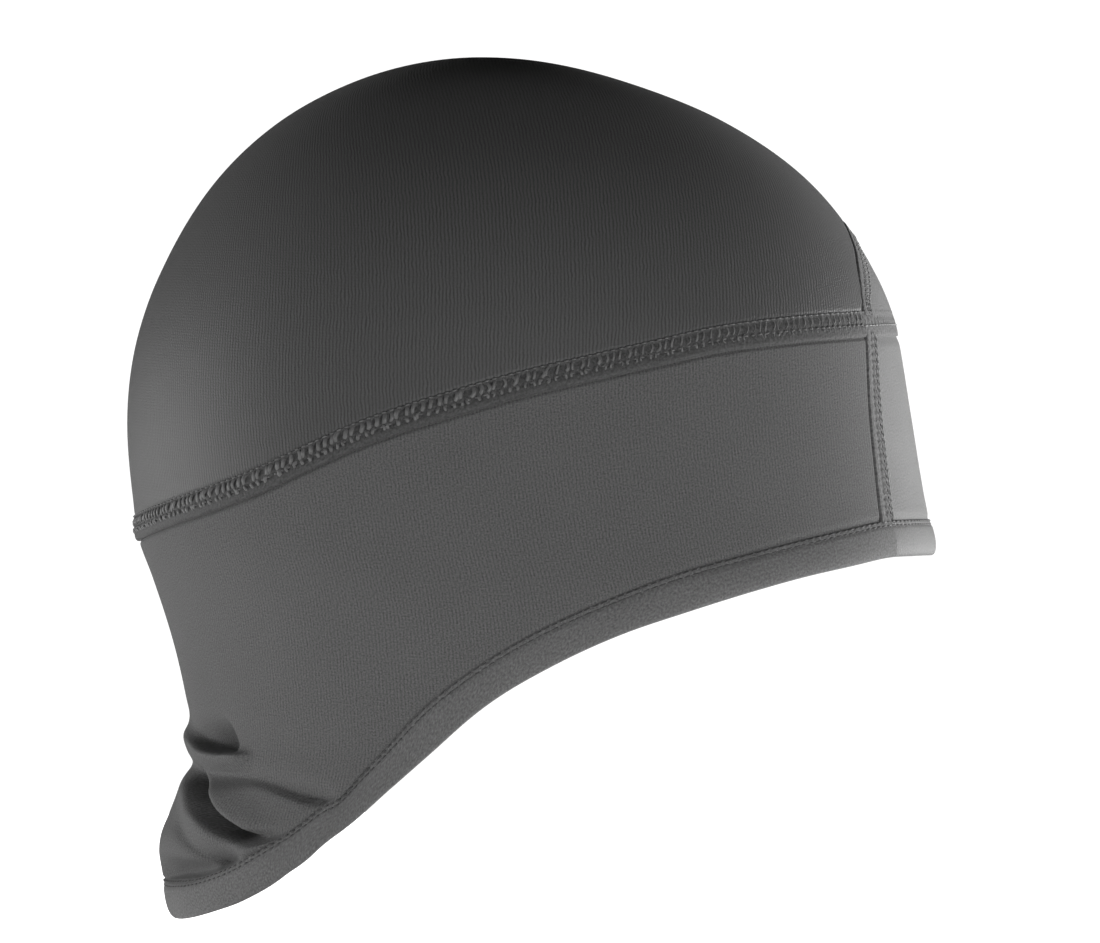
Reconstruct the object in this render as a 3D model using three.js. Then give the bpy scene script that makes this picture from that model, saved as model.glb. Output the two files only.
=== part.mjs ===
import * as THREE from "three";

// A skull cap in stretch knit, with a band over the ears and a nape flap,
// in the form that it takes on a head. Lengths are millimetres.
// The origin is the inside of the crown's top, +Z is up, the face is towards -Y and the wearer's
// right side is towards -X. Angles go round the head in degrees from the centre front, positive
// on the wearer's right, and heights are Z.

// Cloth and the gaps between pieces
const WALL = 1.5;
const CROWN_TOP = WALL;
const CLEARANCE = 0.3;
const CLEARANCE_ANGLE = 0.35;
const ARCH_CLEARANCE = 0.5;
const HEM_CLEARANCE = 0.5;
const SEAM_WIDTH = 6.5;
const STRIP_ANGLE = 3.5;

// Level sections of the outside: front and back lie on the centre plane, half is half of the width.
const SECTIONS = [
  { height: CROWN_TOP, front: 0, back: 0, half: 0 },
  { height: -5, front: -36.5, back: 33, half: 32 },
  { height: -15, front: -61, back: 51.5, half: 48.5 },
  { height: -30, front: -82.5, back: 67.5, half: 63 },
  { height: -50, front: -98, back: 80, half: 73 },
  { height: -70, front: -105, back: 87.5, half: 77.5 },
  { height: -90, front: -109, back: 90, half: 79.5 },
  { height: -110, front: -112, back: 88.5, half: 80.5 },
  { height: -130, front: -115, back: 83.5, half: 80.5 },
  { height: -150, front: -114, back: 77.5, half: 78 },
  { height: -170, front: -112, back: 75.5, half: 74 },
  { height: -190, front: -110, back: 79, half: 69.5 },
  { height: -205, front: -108, back: 81.5, half: 66.5 },
  { height: -222, front: -106, back: 78.5, half: 65 },
];
// A section is blunter than an ellipse at the forehead, and narrower there than at the back.
const FOREHEAD_BLUNTNESS = 0.08;
const EGG_SHAPE = 0.1;

// Heights of the sewn lines round the head: the lower edge of the seam between crown and band,
// the upper edge of the hem, and the rim.
const LINES = [
  { angle: 0, seam: -69.2, hem: -115.6, rim: -124.6 },
  { angle: 20, seam: -69.3, hem: -115, rim: -124.1 },
  { angle: 30, seam: -69.8, hem: -115.1, rim: -124.2 },
  { angle: 40, seam: -70.5, hem: -116.9, rim: -126 },
  { angle: 50, seam: -71.7, hem: -119.4, rim: -128.4 },
  { angle: 60, seam: -73.6, hem: -122.7, rim: -131.8 },
  { angle: 70, seam: -77, hem: -126.6, rim: -136.2 },
  { angle: 80, seam: -80.7, hem: -132.2, rim: -141.8 },
  { angle: 90, seam: -84.7, hem: -139.2, rim: -149 },
  { angle: 100, seam: -89.6, hem: -148.2, rim: -158.7 },
  { angle: 110, seam: -94.9, hem: -159.5, rim: -172.3 },
  { angle: 115, seam: -98, hem: -166.6, rim: -180.6 },
  { angle: 120, seam: -101.4, hem: -175.4, rim: -188.7 },
  { angle: 125, seam: -104.7, hem: -184.1, rim: -195.8 },
  { angle: 130, seam: -107.8, hem: -190.4, rim: -201.2 },
  { angle: 140, seam: -112.4, hem: -199.2, rim: -208.9 },
  { angle: 150, seam: -115.8, hem: -203.6, rim: -213.1 },
  { angle: 165, seam: -119.2, hem: -206.3, rim: -215.8 },
  { angle: 180, seam: -120.5, hem: -207, rim: -216.3 },
];

// The arched strip at the front of the crown, from the centre (share 0) to its foot (share 1):
// its outer edge, and its inner edge towards the insert.
const ARCH = [
  { share: 0, outerAngle: 0, outerHeight: -39.8, innerAngle: 0, innerHeight: -45.3 },
  { share: 0.25, outerAngle: 7.5, outerHeight: -41.7, innerAngle: 6.3, innerHeight: -46.9 },
  { share: 0.5, outerAngle: 14.5, outerHeight: -47.7, innerAngle: 12.6, innerHeight: -52.4 },
  { share: 0.75, outerAngle: 20.6, outerHeight: -54.2, innerAngle: 18.2, innerHeight: -58.2 },
  { share: 1, outerAngle: 24.5, outerHeight: -62, innerAngle: 21, innerHeight: -62 },
];
const INSERT_SHARE = 0.92;

// The outer edge of the strip between the forehead panel and the side of the band.
const FOREHEAD_SEAM = [
  { height: -69, angle: 25.9 },
  { height: -86, angle: 28.4 },
  { height: -106, angle: 29.9 },
  { height: -116, angle: 30.7 },
];

// Folds of the nape flap: their heights by angle, then how far each one stands out or sinks,
// its half width, and the angles where it starts, is full and ends.
const FOLD_LINES = [
  { angle: 120, hollow: -167, roll: -172.5, tuck: -183, crease: -188.5, swell: -190 },
  { angle: 131, hollow: -168.5, roll: -173, tuck: -181.9, crease: -190.1, swell: -191.5 },
  { angle: 137, hollow: -169.2, roll: -173.2, tuck: -179.8, crease: -191, swell: -192.9 },
  { angle: 143, hollow: -169.8, roll: -173.8, tuck: -177.9, crease: -190, swell: -193 },
  { angle: 147, hollow: -171, roll: -175.2, tuck: -177.7, crease: -187.9, swell: -191.9 },
  { angle: 152, hollow: -171.8, roll: -175, tuck: -177.5, crease: -183.5, swell: -189.4 },
  { angle: 158, hollow: -170, roll: -173.4, tuck: -177.4, crease: -178.7, swell: -186.2 },
  { angle: 164, hollow: -166.5, roll: -171.6, tuck: -177, crease: -175.8, swell: -183.6 },
  { angle: 172, hollow: -165, roll: -170.1, tuck: -177, crease: -175.2, swell: -182.5 },
  { angle: 180, hollow: -164.5, roll: -169.6, tuck: -177, crease: -175, swell: -182 },
];
const FOLDS = [
  { line: "hollow", lift: -2.6, spread: 4.4, from: 141, full: 149, to: 190 },
  { line: "roll", lift: 2.4, spread: 3.8, from: 140, full: 147, to: 190 },
  { line: "tuck", lift: -0.8, spread: 4, from: 122, full: 131, to: 160 },
  { line: "crease", lift: -3.2, spread: 4.6, from: 126, full: 139, to: 190 },
  { line: "swell", lift: 2, spread: 4.6, from: 126, full: 139, to: 190 },
];
const FOLD_FADE_HEIGHT = 8;
const FOLD_FADE_ANGLE = 8;

// The two faces of each kind of cloth, as offsets from the outside of the form. The raised strips
// have a profile from their upper edge (share 0) to their lower edge (share 1).
const PLAIN_FACES = { outer: 0, inner: -WALL };
const STRIP_FACES = { outer: 0.5, inner: -1.7 };
const SEAM_PROFILE = [
  { share: 0, outer: 0.2, inner: -1.5 },
  { share: 0.15, outer: 0.8, inner: -1.8 },
  { share: 0.88, outer: 0.8, inner: -1.8 },
  { share: 1, outer: 0.1, inner: -1.5 },
];
const HEM_PROFILE = [
  { share: 0, outer: 0.1, inner: -1.6 },
  { share: 0.08, outer: 0.6, inner: -2.1 },
  { share: 0.88, outer: 0.6, inner: -2.1 },
  { share: 1, outer: -0.2, inner: -1.3 },
];

// Grid sizes
const RING_COLUMNS = 56;
const CROWN_ARCH_COLUMNS = 7;
const CROWN_SIDE_COLUMNS = 17;
const CROWN_ROWS = 9;
const BAND_COLUMNS = 34;
const BAND_ROWS = 17;
const NAPE_CROWDING = 0.5;
const FRONT_COLUMNS = 8;
const FRONT_ROWS = 8;
const ARCH_COLUMNS = 16;
const STRIP_STEPS = 1;

const CENTRE_BACK = 180;
const ARCH_FOOT = ARCH.at(-1).outerAngle;

const crownCloth = { color: 0x4a4a4c, roughness: 0.7, metalness: 0 };
const bandCloth = { color: 0x58585b, roughness: 0.9, metalness: 0 };
const seamCloth = { color: 0x505053, roughness: 0.85, metalness: 0 };
const hemCloth = { color: 0x636366, roughness: 0.95, metalness: 0 };

// A smooth curve through one column of a table, whose slope at each row comes from its neighbours.
// With level ends it can go on mirrored, as a line over the centre front or centre back does.
function curveThrough(rows, input, output, levelEnds = false) {
  const last = rows.length - 1;
  const slopes = rows.slice(1).map((row, i) => {
    return (row[output] - rows[i][output]) / (row[input] - rows[i][input]);
  });
  const tangents = rows.map((row, i) => {
    if (i === 0 || i === last) return levelEnds ? 0 : slopes[Math.min(i, last - 1)];
    const before = row[input] - rows[i - 1][input];
    const after = rows[i + 1][input] - row[input];
    return (slopes[i - 1] * after + slopes[i] * before) / (before + after);
  });
  const direction = Math.sign(rows[last][input] - rows[0][input]);
  return (value) => {
    const passed = rows.filter((row) => (value - row[input]) * direction >= 0).length;
    const i = THREE.MathUtils.clamp(passed - 1, 0, last - 1);
    const step = rows[i + 1][input] - rows[i][input];
    const t = THREE.MathUtils.clamp((value - rows[i][input]) / step, 0, 1);
    const rise = t * t * (3 - 2 * t);
    return (
      THREE.MathUtils.lerp(rows[i][output], rows[i + 1][output], rise) +
      step * t * (1 - t) * ((1 - t) * tangents[i] - t * tangents[i + 1])
    );
  };
}

// Near the top the sections open with the square root of the depth, so the dome is round there.
const depthOf = (height) => Math.sqrt(CROWN_TOP - height);
const heightOf = (depth) => CROWN_TOP - depth * depth;
const depthRows = SECTIONS.map((row) => ({ ...row, depth: depthOf(row.height) }));
const frontAt = curveThrough(depthRows, "depth", "front");
const backAt = curveThrough(depthRows, "depth", "back");
const halfAt = curveThrough(depthRows, "depth", "half");

// Both sides of the head are alike, so a line is read by the size of its angle.
function lineAt(rows, column) {
  const curve = curveThrough(rows, "angle", column, true);
  return (angle) => curve(Math.abs(angle));
}
const seamAt = lineAt(LINES, "seam");
const hemAt = lineAt(LINES, "hem");
const rimAt = lineAt(LINES, "rim");
const seamTopAt = (angle) => seamAt(angle) + SEAM_WIDTH;
const foreheadSeamAt = curveThrough(FOREHEAD_SEAM, "height", "angle");
const archEdgeAt = curveThrough(ARCH, "outerAngle", "outerHeight");
const folds = FOLDS.map((fold) => ({ ...fold, heightAt: lineAt(FOLD_LINES, fold.line) }));

// The smooth form under the folds.
function formPoint(angle, depth) {
  const turn = THREE.MathUtils.degToRad(angle);
  const forward = Math.cos(turn);
  const front = frontAt(depth);
  const back = backAt(depth);
  const blunt = FOREHEAD_BLUNTNESS * (1 + forward) / 2 * Math.sin(2 * turn);
  return new THREE.Vector3(
    -halfAt(depth) * Math.sin(turn + blunt) * (1 - EGG_SHAPE * forward),
    (front + back) / 2 - (back - front) / 2 * forward,
    heightOf(depth),
  );
}

function formNormal(angle, depth) {
  const small = 0.01;
  if (depth < small) return new THREE.Vector3(0, 0, 1);
  const along = formPoint(angle + small, depth).sub(formPoint(angle - small, depth));
  const down = formPoint(angle, depth + small).sub(formPoint(angle, depth - small));
  return along.cross(down).normalize();
}

function foldLift(angle, height) {
  const turned = Math.abs(angle);
  const aboveHem = THREE.MathUtils.smoothstep(height - hemAt(turned), 0, FOLD_FADE_HEIGHT);
  return folds.reduce((lift, fold) => {
    const across = (height - fold.heightAt(turned)) / fold.spread;
    const grown = THREE.MathUtils.smoothstep(turned, fold.from, fold.full);
    const left = 1 - THREE.MathUtils.smoothstep(turned, fold.to - FOLD_FADE_ANGLE, fold.to);
    return lift + fold.lift * grown * left * aboveHem * Math.exp(-across * across);
  }, 0);
}

// A place on the cap: an angle and a height, moved along the form's normal by its fold and an offset.
function onCap({ angle, height }, offset) {
  const depth = depthOf(height);
  const normal = formNormal(angle, depth);
  return formPoint(angle, depth).addScaledVector(normal, foldLift(angle, height) + offset);
}

const steps = (from, to, count) => {
  return Array.from({ length: count + 1 }, (_, i) => THREE.MathUtils.lerp(from, to, i / count));
};
const rowsWith = (faces, count) => steps(0, 1, count).map((share) => ({ share, ...faces }));

// One closed wall of cloth over a grid. place(column, share) gives an angle and a height. Each row holds
// its share of the way down and the offsets of the two faces. A ring joins its last column to its first,
// and a wall with a pole gathers its first row in one point.
function wallGeometry({ columns, rows, place, ring = false, pole = false }) {
  const points = [];
  const index = [];
  const face = (key) => {
    const start = points.length;
    columns.forEach((column) => {
      rows.forEach((row) => points.push(onCap(place(column, row.share), row[key])));
    });
    return (i, j) => start + (pole && j === 0 ? 0 : (i % columns.length) * rows.length + j);
  };
  const outer = face("outer");
  const inner = face("inner");
  const triangle = (...corners) => {
    if (new Set(corners).size === corners.length) index.push(...corners);
  };
  const quad = (a, b, c, d) => {
    triangle(a, b, c);
    triangle(a, c, d);
  };
  const lastColumn = ring ? columns.length : columns.length - 1;
  const lastRow = rows.length - 1;
  for (let i = 0; i < lastColumn; i++) {
    for (let j = 0; j < lastRow; j++) {
      quad(outer(i, j), outer(i + 1, j), outer(i + 1, j + 1), outer(i, j + 1));
      quad(inner(i, j), inner(i, j + 1), inner(i + 1, j + 1), inner(i + 1, j));
    }
    quad(outer(i, lastRow), outer(i + 1, lastRow), inner(i + 1, lastRow), inner(i, lastRow));
    if (!pole) quad(outer(i + 1, 0), outer(i, 0), inner(i, 0), inner(i + 1, 0));
  }
  for (let j = 0; j < lastRow && !ring; j++) {
    quad(outer(0, j), outer(0, j + 1), inner(0, j + 1), inner(0, j));
    quad(outer(lastColumn, j + 1), outer(lastColumn, j), inner(lastColumn, j), inner(lastColumn, j + 1));
  }
  const geometry = new THREE.BufferGeometry().setFromPoints(points).setIndex(index);
  geometry.computeVertexNormals();
  return geometry;
}

// The same piece for the other side of the head.
function mirrored({ columns, place, ...rest }) {
  return {
    ...rest,
    columns: columns.toReversed(),
    place: (column, share) => {
      const { angle, height } = place(column, share);
      return { angle: -angle, height };
    },
  };
}

function addPiece(group, name, cloth, wall) {
  const mesh = new THREE.Mesh(wallGeometry(wall), new THREE.MeshStandardMaterial(cloth));
  mesh.name = name;
  group.add(mesh);
  return mesh;
}

// A pair of pieces, each moved from the centre plane by half of the gap between them.
function addPair(group, name, cloth, wall) {
  addPiece(group, `${name}_right`, cloth, wall).position.x = -CLEARANCE / 2;
  addPiece(group, `${name}_left`, cloth, mirrored(wall)).position.x = CLEARANCE / 2;
}

// Half of the crown, from the top down to the arch in front and to the seam with the band elsewhere.
function crownHalf() {
  const edgeAt = (angle) => {
    return angle <= ARCH_FOOT ? archEdgeAt(angle) + ARCH_CLEARANCE : seamTopAt(angle) + CLEARANCE;
  };
  return {
    columns: [
      ...steps(0, ARCH_FOOT, CROWN_ARCH_COLUMNS),
      ...steps(ARCH_FOOT + CLEARANCE_ANGLE, CENTRE_BACK, CROWN_SIDE_COLUMNS),
    ],
    rows: rowsWith(PLAIN_FACES, CROWN_ROWS),
    pole: true,
    place: (angle, share) => ({ angle, height: heightOf(share * depthOf(edgeAt(angle))) }),
  };
}

// The arch's two edges at a share of the way from its centre to its foot, on either side.
const archCurves = Object.fromEntries(
  Object.keys(ARCH[0]).map((column) => [column, curveThrough(ARCH, "share", column)]),
);
function archEdge(edge, share) {
  const angle = archCurves[`${edge}Angle`](Math.abs(share)) * Math.sign(share);
  return { angle, height: archCurves[`${edge}Height`](Math.abs(share)) };
}

const between = (a, b, share) => ({
  angle: THREE.MathUtils.lerp(a.angle, b.angle, share),
  height: THREE.MathUtils.lerp(a.height, b.height, share),
});

function archStrip() {
  return {
    columns: steps(-1, 1, ARCH_COLUMNS),
    rows: rowsWith(STRIP_FACES, STRIP_STEPS),
    place: (along, share) => between(archEdge("outer", along), archEdge("inner", along), share),
  };
}

// The insert under the arch.
function crownInsert() {
  return {
    columns: steps(-INSERT_SHARE, INSERT_SHARE, FRONT_COLUMNS),
    rows: rowsWith(PLAIN_FACES, FRONT_ROWS),
    place: (along, share) => {
      const { angle, height } = archEdge("inner", along);
      const bottom = seamTopAt(angle) + CLEARANCE;
      return { angle, height: THREE.MathUtils.lerp(height - ARCH_CLEARANCE, bottom, share) };
    },
  };
}

function ringBetween(columns, profile, upperAt, lowerAt) {
  return {
    columns,
    rows: profile,
    ring: true,
    place: (angle, share) => {
      return { angle, height: THREE.MathUtils.lerp(upperAt(angle), lowerAt(angle), share) };
    },
  };
}

// Heights and edges in the band: a share of the way from the seam down to the hem.
function bandHeight(angle, share) {
  return THREE.MathUtils.lerp(seamAt(angle) - CLEARANCE, hemAt(angle) + HEM_CLEARANCE, share);
}
const foreheadEdge = (share) => foreheadSeamAt(bandHeight(ARCH_FOOT, share));
const panelEdge = (share) => foreheadEdge(share) - STRIP_ANGLE - CLEARANCE_ANGLE;

// The grid of the band's side, from the forehead strip to the centre back, is closer at the nape.
const crowd = (share) => share * (1 + NAPE_CROWDING - NAPE_CROWDING * share);
function sideAngle(along, down) {
  return THREE.MathUtils.lerp(foreheadEdge(down) + CLEARANCE_ANGLE, CENTRE_BACK, crowd(along));
}

function bandSide() {
  return {
    columns: steps(0, 1, BAND_COLUMNS),
    rows: rowsWith(PLAIN_FACES, BAND_ROWS),
    place: (along, share) => {
      const down = crowd(share);
      const angle = sideAngle(along, down);
      return { angle, height: bandHeight(angle, down) };
    },
  };
}

// A strip or panel of the band between two edges, each an angle that changes on the way down.
function bandPanel(faces, columnCount, fromAt, toAt) {
  return {
    columns: steps(0, 1, columnCount),
    rows: rowsWith(faces, FRONT_ROWS),
    place: (along, share) => {
      const angle = THREE.MathUtils.lerp(fromAt(share), toAt(share), along);
      return { angle, height: bandHeight(angle, share) };
    },
  };
}

function foreheadStrip() {
  return bandPanel(STRIP_FACES, STRIP_STEPS, (share) => foreheadEdge(share) - STRIP_ANGLE, foreheadEdge);
}

function foreheadPanel() {
  return bandPanel(PLAIN_FACES, FRONT_COLUMNS, (share) => -panelEdge(share), panelEdge);
}

const ringAngles = steps(-CENTRE_BACK, CENTRE_BACK, RING_COLUMNS).slice(0, -1);

// The hem has a column under each one of the band, so that the gap between them stays even.
function hemAngles() {
  const side = steps(0, 1, BAND_COLUMNS).map((along) => sideAngle(along, 1));
  return [
    ...side.toReversed().map((angle) => -angle),
    ...steps(-panelEdge(1), panelEdge(1), FRONT_COLUMNS),
    ...side.slice(0, -1),
  ];
}

const skullCap = new THREE.Group();
addPair(skullCap, "crown", crownCloth, crownHalf());
addPiece(skullCap, "crown_front", crownCloth, crownInsert());
addPiece(skullCap, "crown_front_seam", seamCloth, archStrip());
addPiece(skullCap, "crown_band_seam", seamCloth, ringBetween(ringAngles, SEAM_PROFILE, seamTopAt, seamAt));
addPair(skullCap, "band", bandCloth, bandSide());
addPiece(skullCap, "band_front", bandCloth, foreheadPanel());
addPiece(skullCap, "band_front_seam_right", seamCloth, foreheadStrip());
addPiece(skullCap, "band_front_seam_left", seamCloth, mirrored(foreheadStrip()));
addPiece(skullCap, "hem", hemCloth, ringBetween(hemAngles(), HEM_PROFILE, hemAt, rimAt));

export default skullCap;
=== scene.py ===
# %% [markdown]
# # A stretch-knit skull cap
#
# The cap is cut from a few panels of fine knit and sewn with flat seams, so that it can be worn
# close to the head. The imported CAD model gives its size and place. This lesson keeps that frame,
# hides its plain walls, and builds each panel again as a finer sheet of cloth with its own folds,
# stitches and knitted surface.

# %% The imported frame
import math

import bmesh
import bpy
import numpy as np
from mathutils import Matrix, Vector


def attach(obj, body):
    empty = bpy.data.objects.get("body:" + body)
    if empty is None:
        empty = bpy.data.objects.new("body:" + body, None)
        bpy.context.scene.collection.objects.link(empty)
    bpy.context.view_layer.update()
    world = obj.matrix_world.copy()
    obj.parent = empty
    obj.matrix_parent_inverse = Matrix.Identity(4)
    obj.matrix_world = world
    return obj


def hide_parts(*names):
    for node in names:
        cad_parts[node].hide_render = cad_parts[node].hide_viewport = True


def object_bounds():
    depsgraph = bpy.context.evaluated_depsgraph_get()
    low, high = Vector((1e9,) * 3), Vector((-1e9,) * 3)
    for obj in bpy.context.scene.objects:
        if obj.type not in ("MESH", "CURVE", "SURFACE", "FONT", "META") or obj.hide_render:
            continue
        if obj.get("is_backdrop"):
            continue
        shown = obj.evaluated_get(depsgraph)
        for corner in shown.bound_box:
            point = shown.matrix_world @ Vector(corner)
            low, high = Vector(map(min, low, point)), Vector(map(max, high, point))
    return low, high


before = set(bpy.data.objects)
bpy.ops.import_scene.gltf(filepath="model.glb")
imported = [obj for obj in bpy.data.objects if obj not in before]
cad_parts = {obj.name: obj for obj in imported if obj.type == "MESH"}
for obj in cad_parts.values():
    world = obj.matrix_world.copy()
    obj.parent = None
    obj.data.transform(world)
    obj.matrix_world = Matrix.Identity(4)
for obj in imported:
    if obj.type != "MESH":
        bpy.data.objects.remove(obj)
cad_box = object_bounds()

MM = 0.001


def add_object(name, data):
    """Puts a mesh, a camera or a lamp into the scene."""
    thing = bpy.data.objects.new(name, data)
    bpy.context.scene.collection.objects.link(thing)
    return thing


print("CAD nodes:", sorted(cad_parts))

# %% [markdown]
# ## The camera
#
# A product photograph of a cap is taken from far away with a long lens, so that the round form
# isn't distorted. A short lens close by would show the near side too large. Here the camera looks
# straight at the wearer's right side from 1.6 m, and almost level.

# %% Camera
CAMERA_RISE = math.radians(1)
CAMERA_DISTANCE = 1.6
LOOK_AT = Vector((-1.81, -17.26, -103.56)) * MM
VIEW_WIDTH = 0.2792
LEVEL_SIDE = Vector((-1, 0, 0))
to_camera = LEVEL_SIDE * math.cos(CAMERA_RISE) + Vector((0, 0, math.sin(CAMERA_RISE)))

camera = add_object("camera", bpy.data.cameras.new("camera"))
camera.location = LOOK_AT + to_camera * CAMERA_DISTANCE
camera.rotation_euler = to_camera.to_track_quat("Z", "Y").to_euler()
camera.data.lens = camera.data.sensor_width * CAMERA_DISTANCE / VIEW_WIDTH
camera.data.clip_start = 0.05
bpy.context.scene.camera = camera
print("lens", round(camera.data.lens, 1), "mm")

# %% [markdown]
# ## The form of a worn cap
#
# A cap has no shape of its own until something fills it, and then it takes the shape of the head.
# That form could be sculpted, or a cloth simulation could pull flat panels over a head. Level
# sections in a table are easier to check against the CAD model, and every panel and stitch can
# then be placed by two numbers: an angle round the head, from the centre front towards the
# wearer's right, and a height.

# %% Tables of the form
def columns_of(names, rows):
    """A table as one array for each named column."""
    return dict(zip(names.split(), np.array(rows, float).T))


def curve_through(x, y, level_ends=False):
    """A smooth curve through points, which keeps its end values beyond them."""
    if x[0] > x[-1]:
        x, y = x[::-1], y[::-1]
    gaps = np.diff(x)
    slopes = np.diff(y) / gaps
    middle = (slopes[:-1] * gaps[1:] + slopes[1:] * gaps[:-1]) / (gaps[:-1] + gaps[1:])
    ends = (0, 0) if level_ends else (slopes[0], slopes[-1])
    tangents = np.concatenate([[ends[0]], middle, [ends[1]]])

    def at(value):
        i = np.clip(np.searchsorted(x, value, side="right") - 1, 0, len(gaps) - 1)
        t = np.clip((value - x[i]) / gaps[i], 0, 1)
        rise = t * t * (3 - 2 * t)
        bend = gaps[i] * t * (1 - t) * ((1 - t) * tangents[i] - t * tangents[i + 1])
        return y[i] + (y[i + 1] - y[i]) * rise + bend

    return at


# Level sections in millimetres: front and back on the centre plane, and half of the width
SECTIONS = columns_of("height front back half", [
    (1.5, 0, 0, 0),
    (-5, -37.1, 33, 32),
    (-15, -61.6, 51.5, 48.5),
    (-30, -82.9, 67.5, 63),
    (-50, -98, 80, 73),
    (-60, -102.9, 84.4, 75.7),
    (-66, -104.9, 86.4, 76.9),
    (-70, -105.7, 87.5, 77.5),
    (-90, -109, 90, 79.5),
    (-110, -112.3, 88.6, 80.5),
    (-121, -114.5, 87, 80.6),
    (-130, -115.7, 83.7, 80.5),
    (-150, -114, 77.5, 78),
    (-160, -113, 75.3, 76.1),
    (-170, -112, 73.6, 74),
    (-176, -111.4, 74.5, 72.7),
    (-183, -110.7, 76.7, 71.1),
    (-190, -110, 79.4, 69.5),
    (-196, -109.2, 81.7, 68.3),
    (-200, -108.7, 82.1, 67.5),
    (-205, -108, 81.2, 66.6),
    (-211, -107.3, 80.1, 66),
    (-222, -106, 77.7, 65),
])
# Sewn lines round the head: lower edge of the seam under the crown, upper edge of the hem, rim
LINES = columns_of("angle seam hem rim", [
    (0, -69.2, -115.6, -124.6),
    (20, -69.3, -115, -124.1),
    (30, -69.8, -115.1, -124.2),
    (40, -70.5, -116.9, -126),
    (50, -71.7, -119.4, -128.4),
    (60, -73.6, -122.7, -132),
    (70, -77, -126.6, -136.6),
    (80, -80.7, -132.2, -142),
    (90, -84.7, -139.2, -149.4),
    (100, -89.6, -148.2, -158.8),
    (110, -94.9, -159.5, -171.8),
    (115, -98, -166.6, -179.8),
    (120, -101.4, -175.4, -188.7),
    (123.2, -103.5, -182.3, -193.4),
    (125.4, -105, -184, -197.1),
    (130, -107.8, -190.4, -201.9),
    (140, -112.4, -199.2, -208.8),
    (150, -115.8, -203.6, -212.7),
    (165, -119.6, -206.3, -216),
    (180, -121.3, -207, -216.6),
])
# The arched strip at the front, from its centre (share 0) to its foot (share 1)
ARCH = columns_of("share outer_angle outer_height inner_angle inner_height", [
    (0, 0, -39.8, 0, -45.3),
    (0.25, 7.5, -41.7, 6.3, -46.9),
    (0.5, 14.5, -47.7, 12.6, -52.4),
    (0.75, 20.6, -54.2, 18.2, -58.2),
    (1, 24.5, -62, 21, -62),
    (1.1, 24.9, -65.4, 21.4, -65.4),
])
# The outer edge of the strip between the forehead panel and the side of the band
FOREHEAD_SEAM = columns_of("height angle", [
    (-66, 25.4), (-69, 25.9), (-86, 28.4), (-106, 29.9), (-116, 30.7), (-120, 30.9),
])
CROWN_TOP = SECTIONS["height"][0]
CENTRE_BACK = 180
WALL = 1.5
SEAM_WIDTH = 6.5
STRIP_ANGLE = 4.2
FOREHEAD_BLUNTNESS = 0.08
EGG_SHAPE = 0.1


def depth_of(height):
    """Near the top a dome opens with the square root of its depth."""
    return np.sqrt(np.maximum(CROWN_TOP - height, 0))


def height_of(depth):
    return CROWN_TOP - depth * depth


section = {
    key: curve_through(depth_of(SECTIONS["height"]), SECTIONS[key])
    for key in ("front", "back", "half")
}
line = {
    key: curve_through(LINES["angle"], LINES[key], level_ends=True)
    for key in ("seam", "hem", "rim")
}
arch = {key: curve_through(ARCH["share"], ARCH[key]) for key in ARCH if key != "share"}
to_foot = ARCH["share"] <= 1
arch_edge = curve_through(ARCH["outer_angle"][to_foot], ARCH["outer_height"][to_foot])
forehead_seam = curve_through(FOREHEAD_SEAM["height"], FOREHEAD_SEAM["angle"])


def seam_line(angle):
    return line["seam"](np.abs(angle))


def seam_top(angle):
    return seam_line(angle) + SEAM_WIDTH


def hem_line(angle):
    return line["hem"](np.abs(angle))


def rim_line(angle):
    return line["rim"](np.abs(angle))


def form_point(angle, depth):
    """A place on the smooth form, in millimetres."""
    turn = np.radians(angle)
    forward = np.cos(turn)
    front, back = section["front"](depth), section["back"](depth)
    blunt = FOREHEAD_BLUNTNESS * (1 + forward) / 2 * np.sin(2 * turn)
    x = -section["half"](depth) * np.sin(turn + blunt) * (1 - EGG_SHAPE * forward)
    y = (front + back) / 2 - (back - front) / 2 * forward
    return np.stack(np.broadcast_arrays(x, y, height_of(depth)), -1)


def form_normal(angle, depth):
    """The direction straight out of the form."""
    depth = np.maximum(depth, 0.05)
    along = form_point(angle + 0.01, depth) - form_point(angle - 0.01, depth)
    down = form_point(angle, depth + 0.01) - form_point(angle, depth - 0.01)
    out = np.cross(along, down)
    return out / np.linalg.norm(out, axis=-1, keepdims=True)


check = form_point(np.linspace(-180, 180, 361)[:, None], np.linspace(0, 14.9, 60)[None])
low, high = (np.array(corner) / MM for corner in cad_box)
print("form, mm:", check.min((0, 1)).round(1), check.max((0, 1)).round(1))
print("CAD, mm: ", low.round(1), high.round(1))

# %% [markdown]
# ## Folds at the nape
#
# The flap over the neck is longer than it needs to be, so it gathers in folds: a dark pocket over
# a round roll, a tuck that runs forward to the hem, and a deep valley below it between the lip of
# one layer and the swell of the next. Simulated cloth would fold somewhere else at each change, so
# the folds here are drawn instead. Each one is a line over the nape, laid out flat. A table says
# how far the cloth stands out or sinks there, over what distances that fades above and below the
# line, and how far its crest leans over upwards, so that a roll can hang over its pocket.

# %% Fold tables
FOLD = "angle height lift above below lean"
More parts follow.
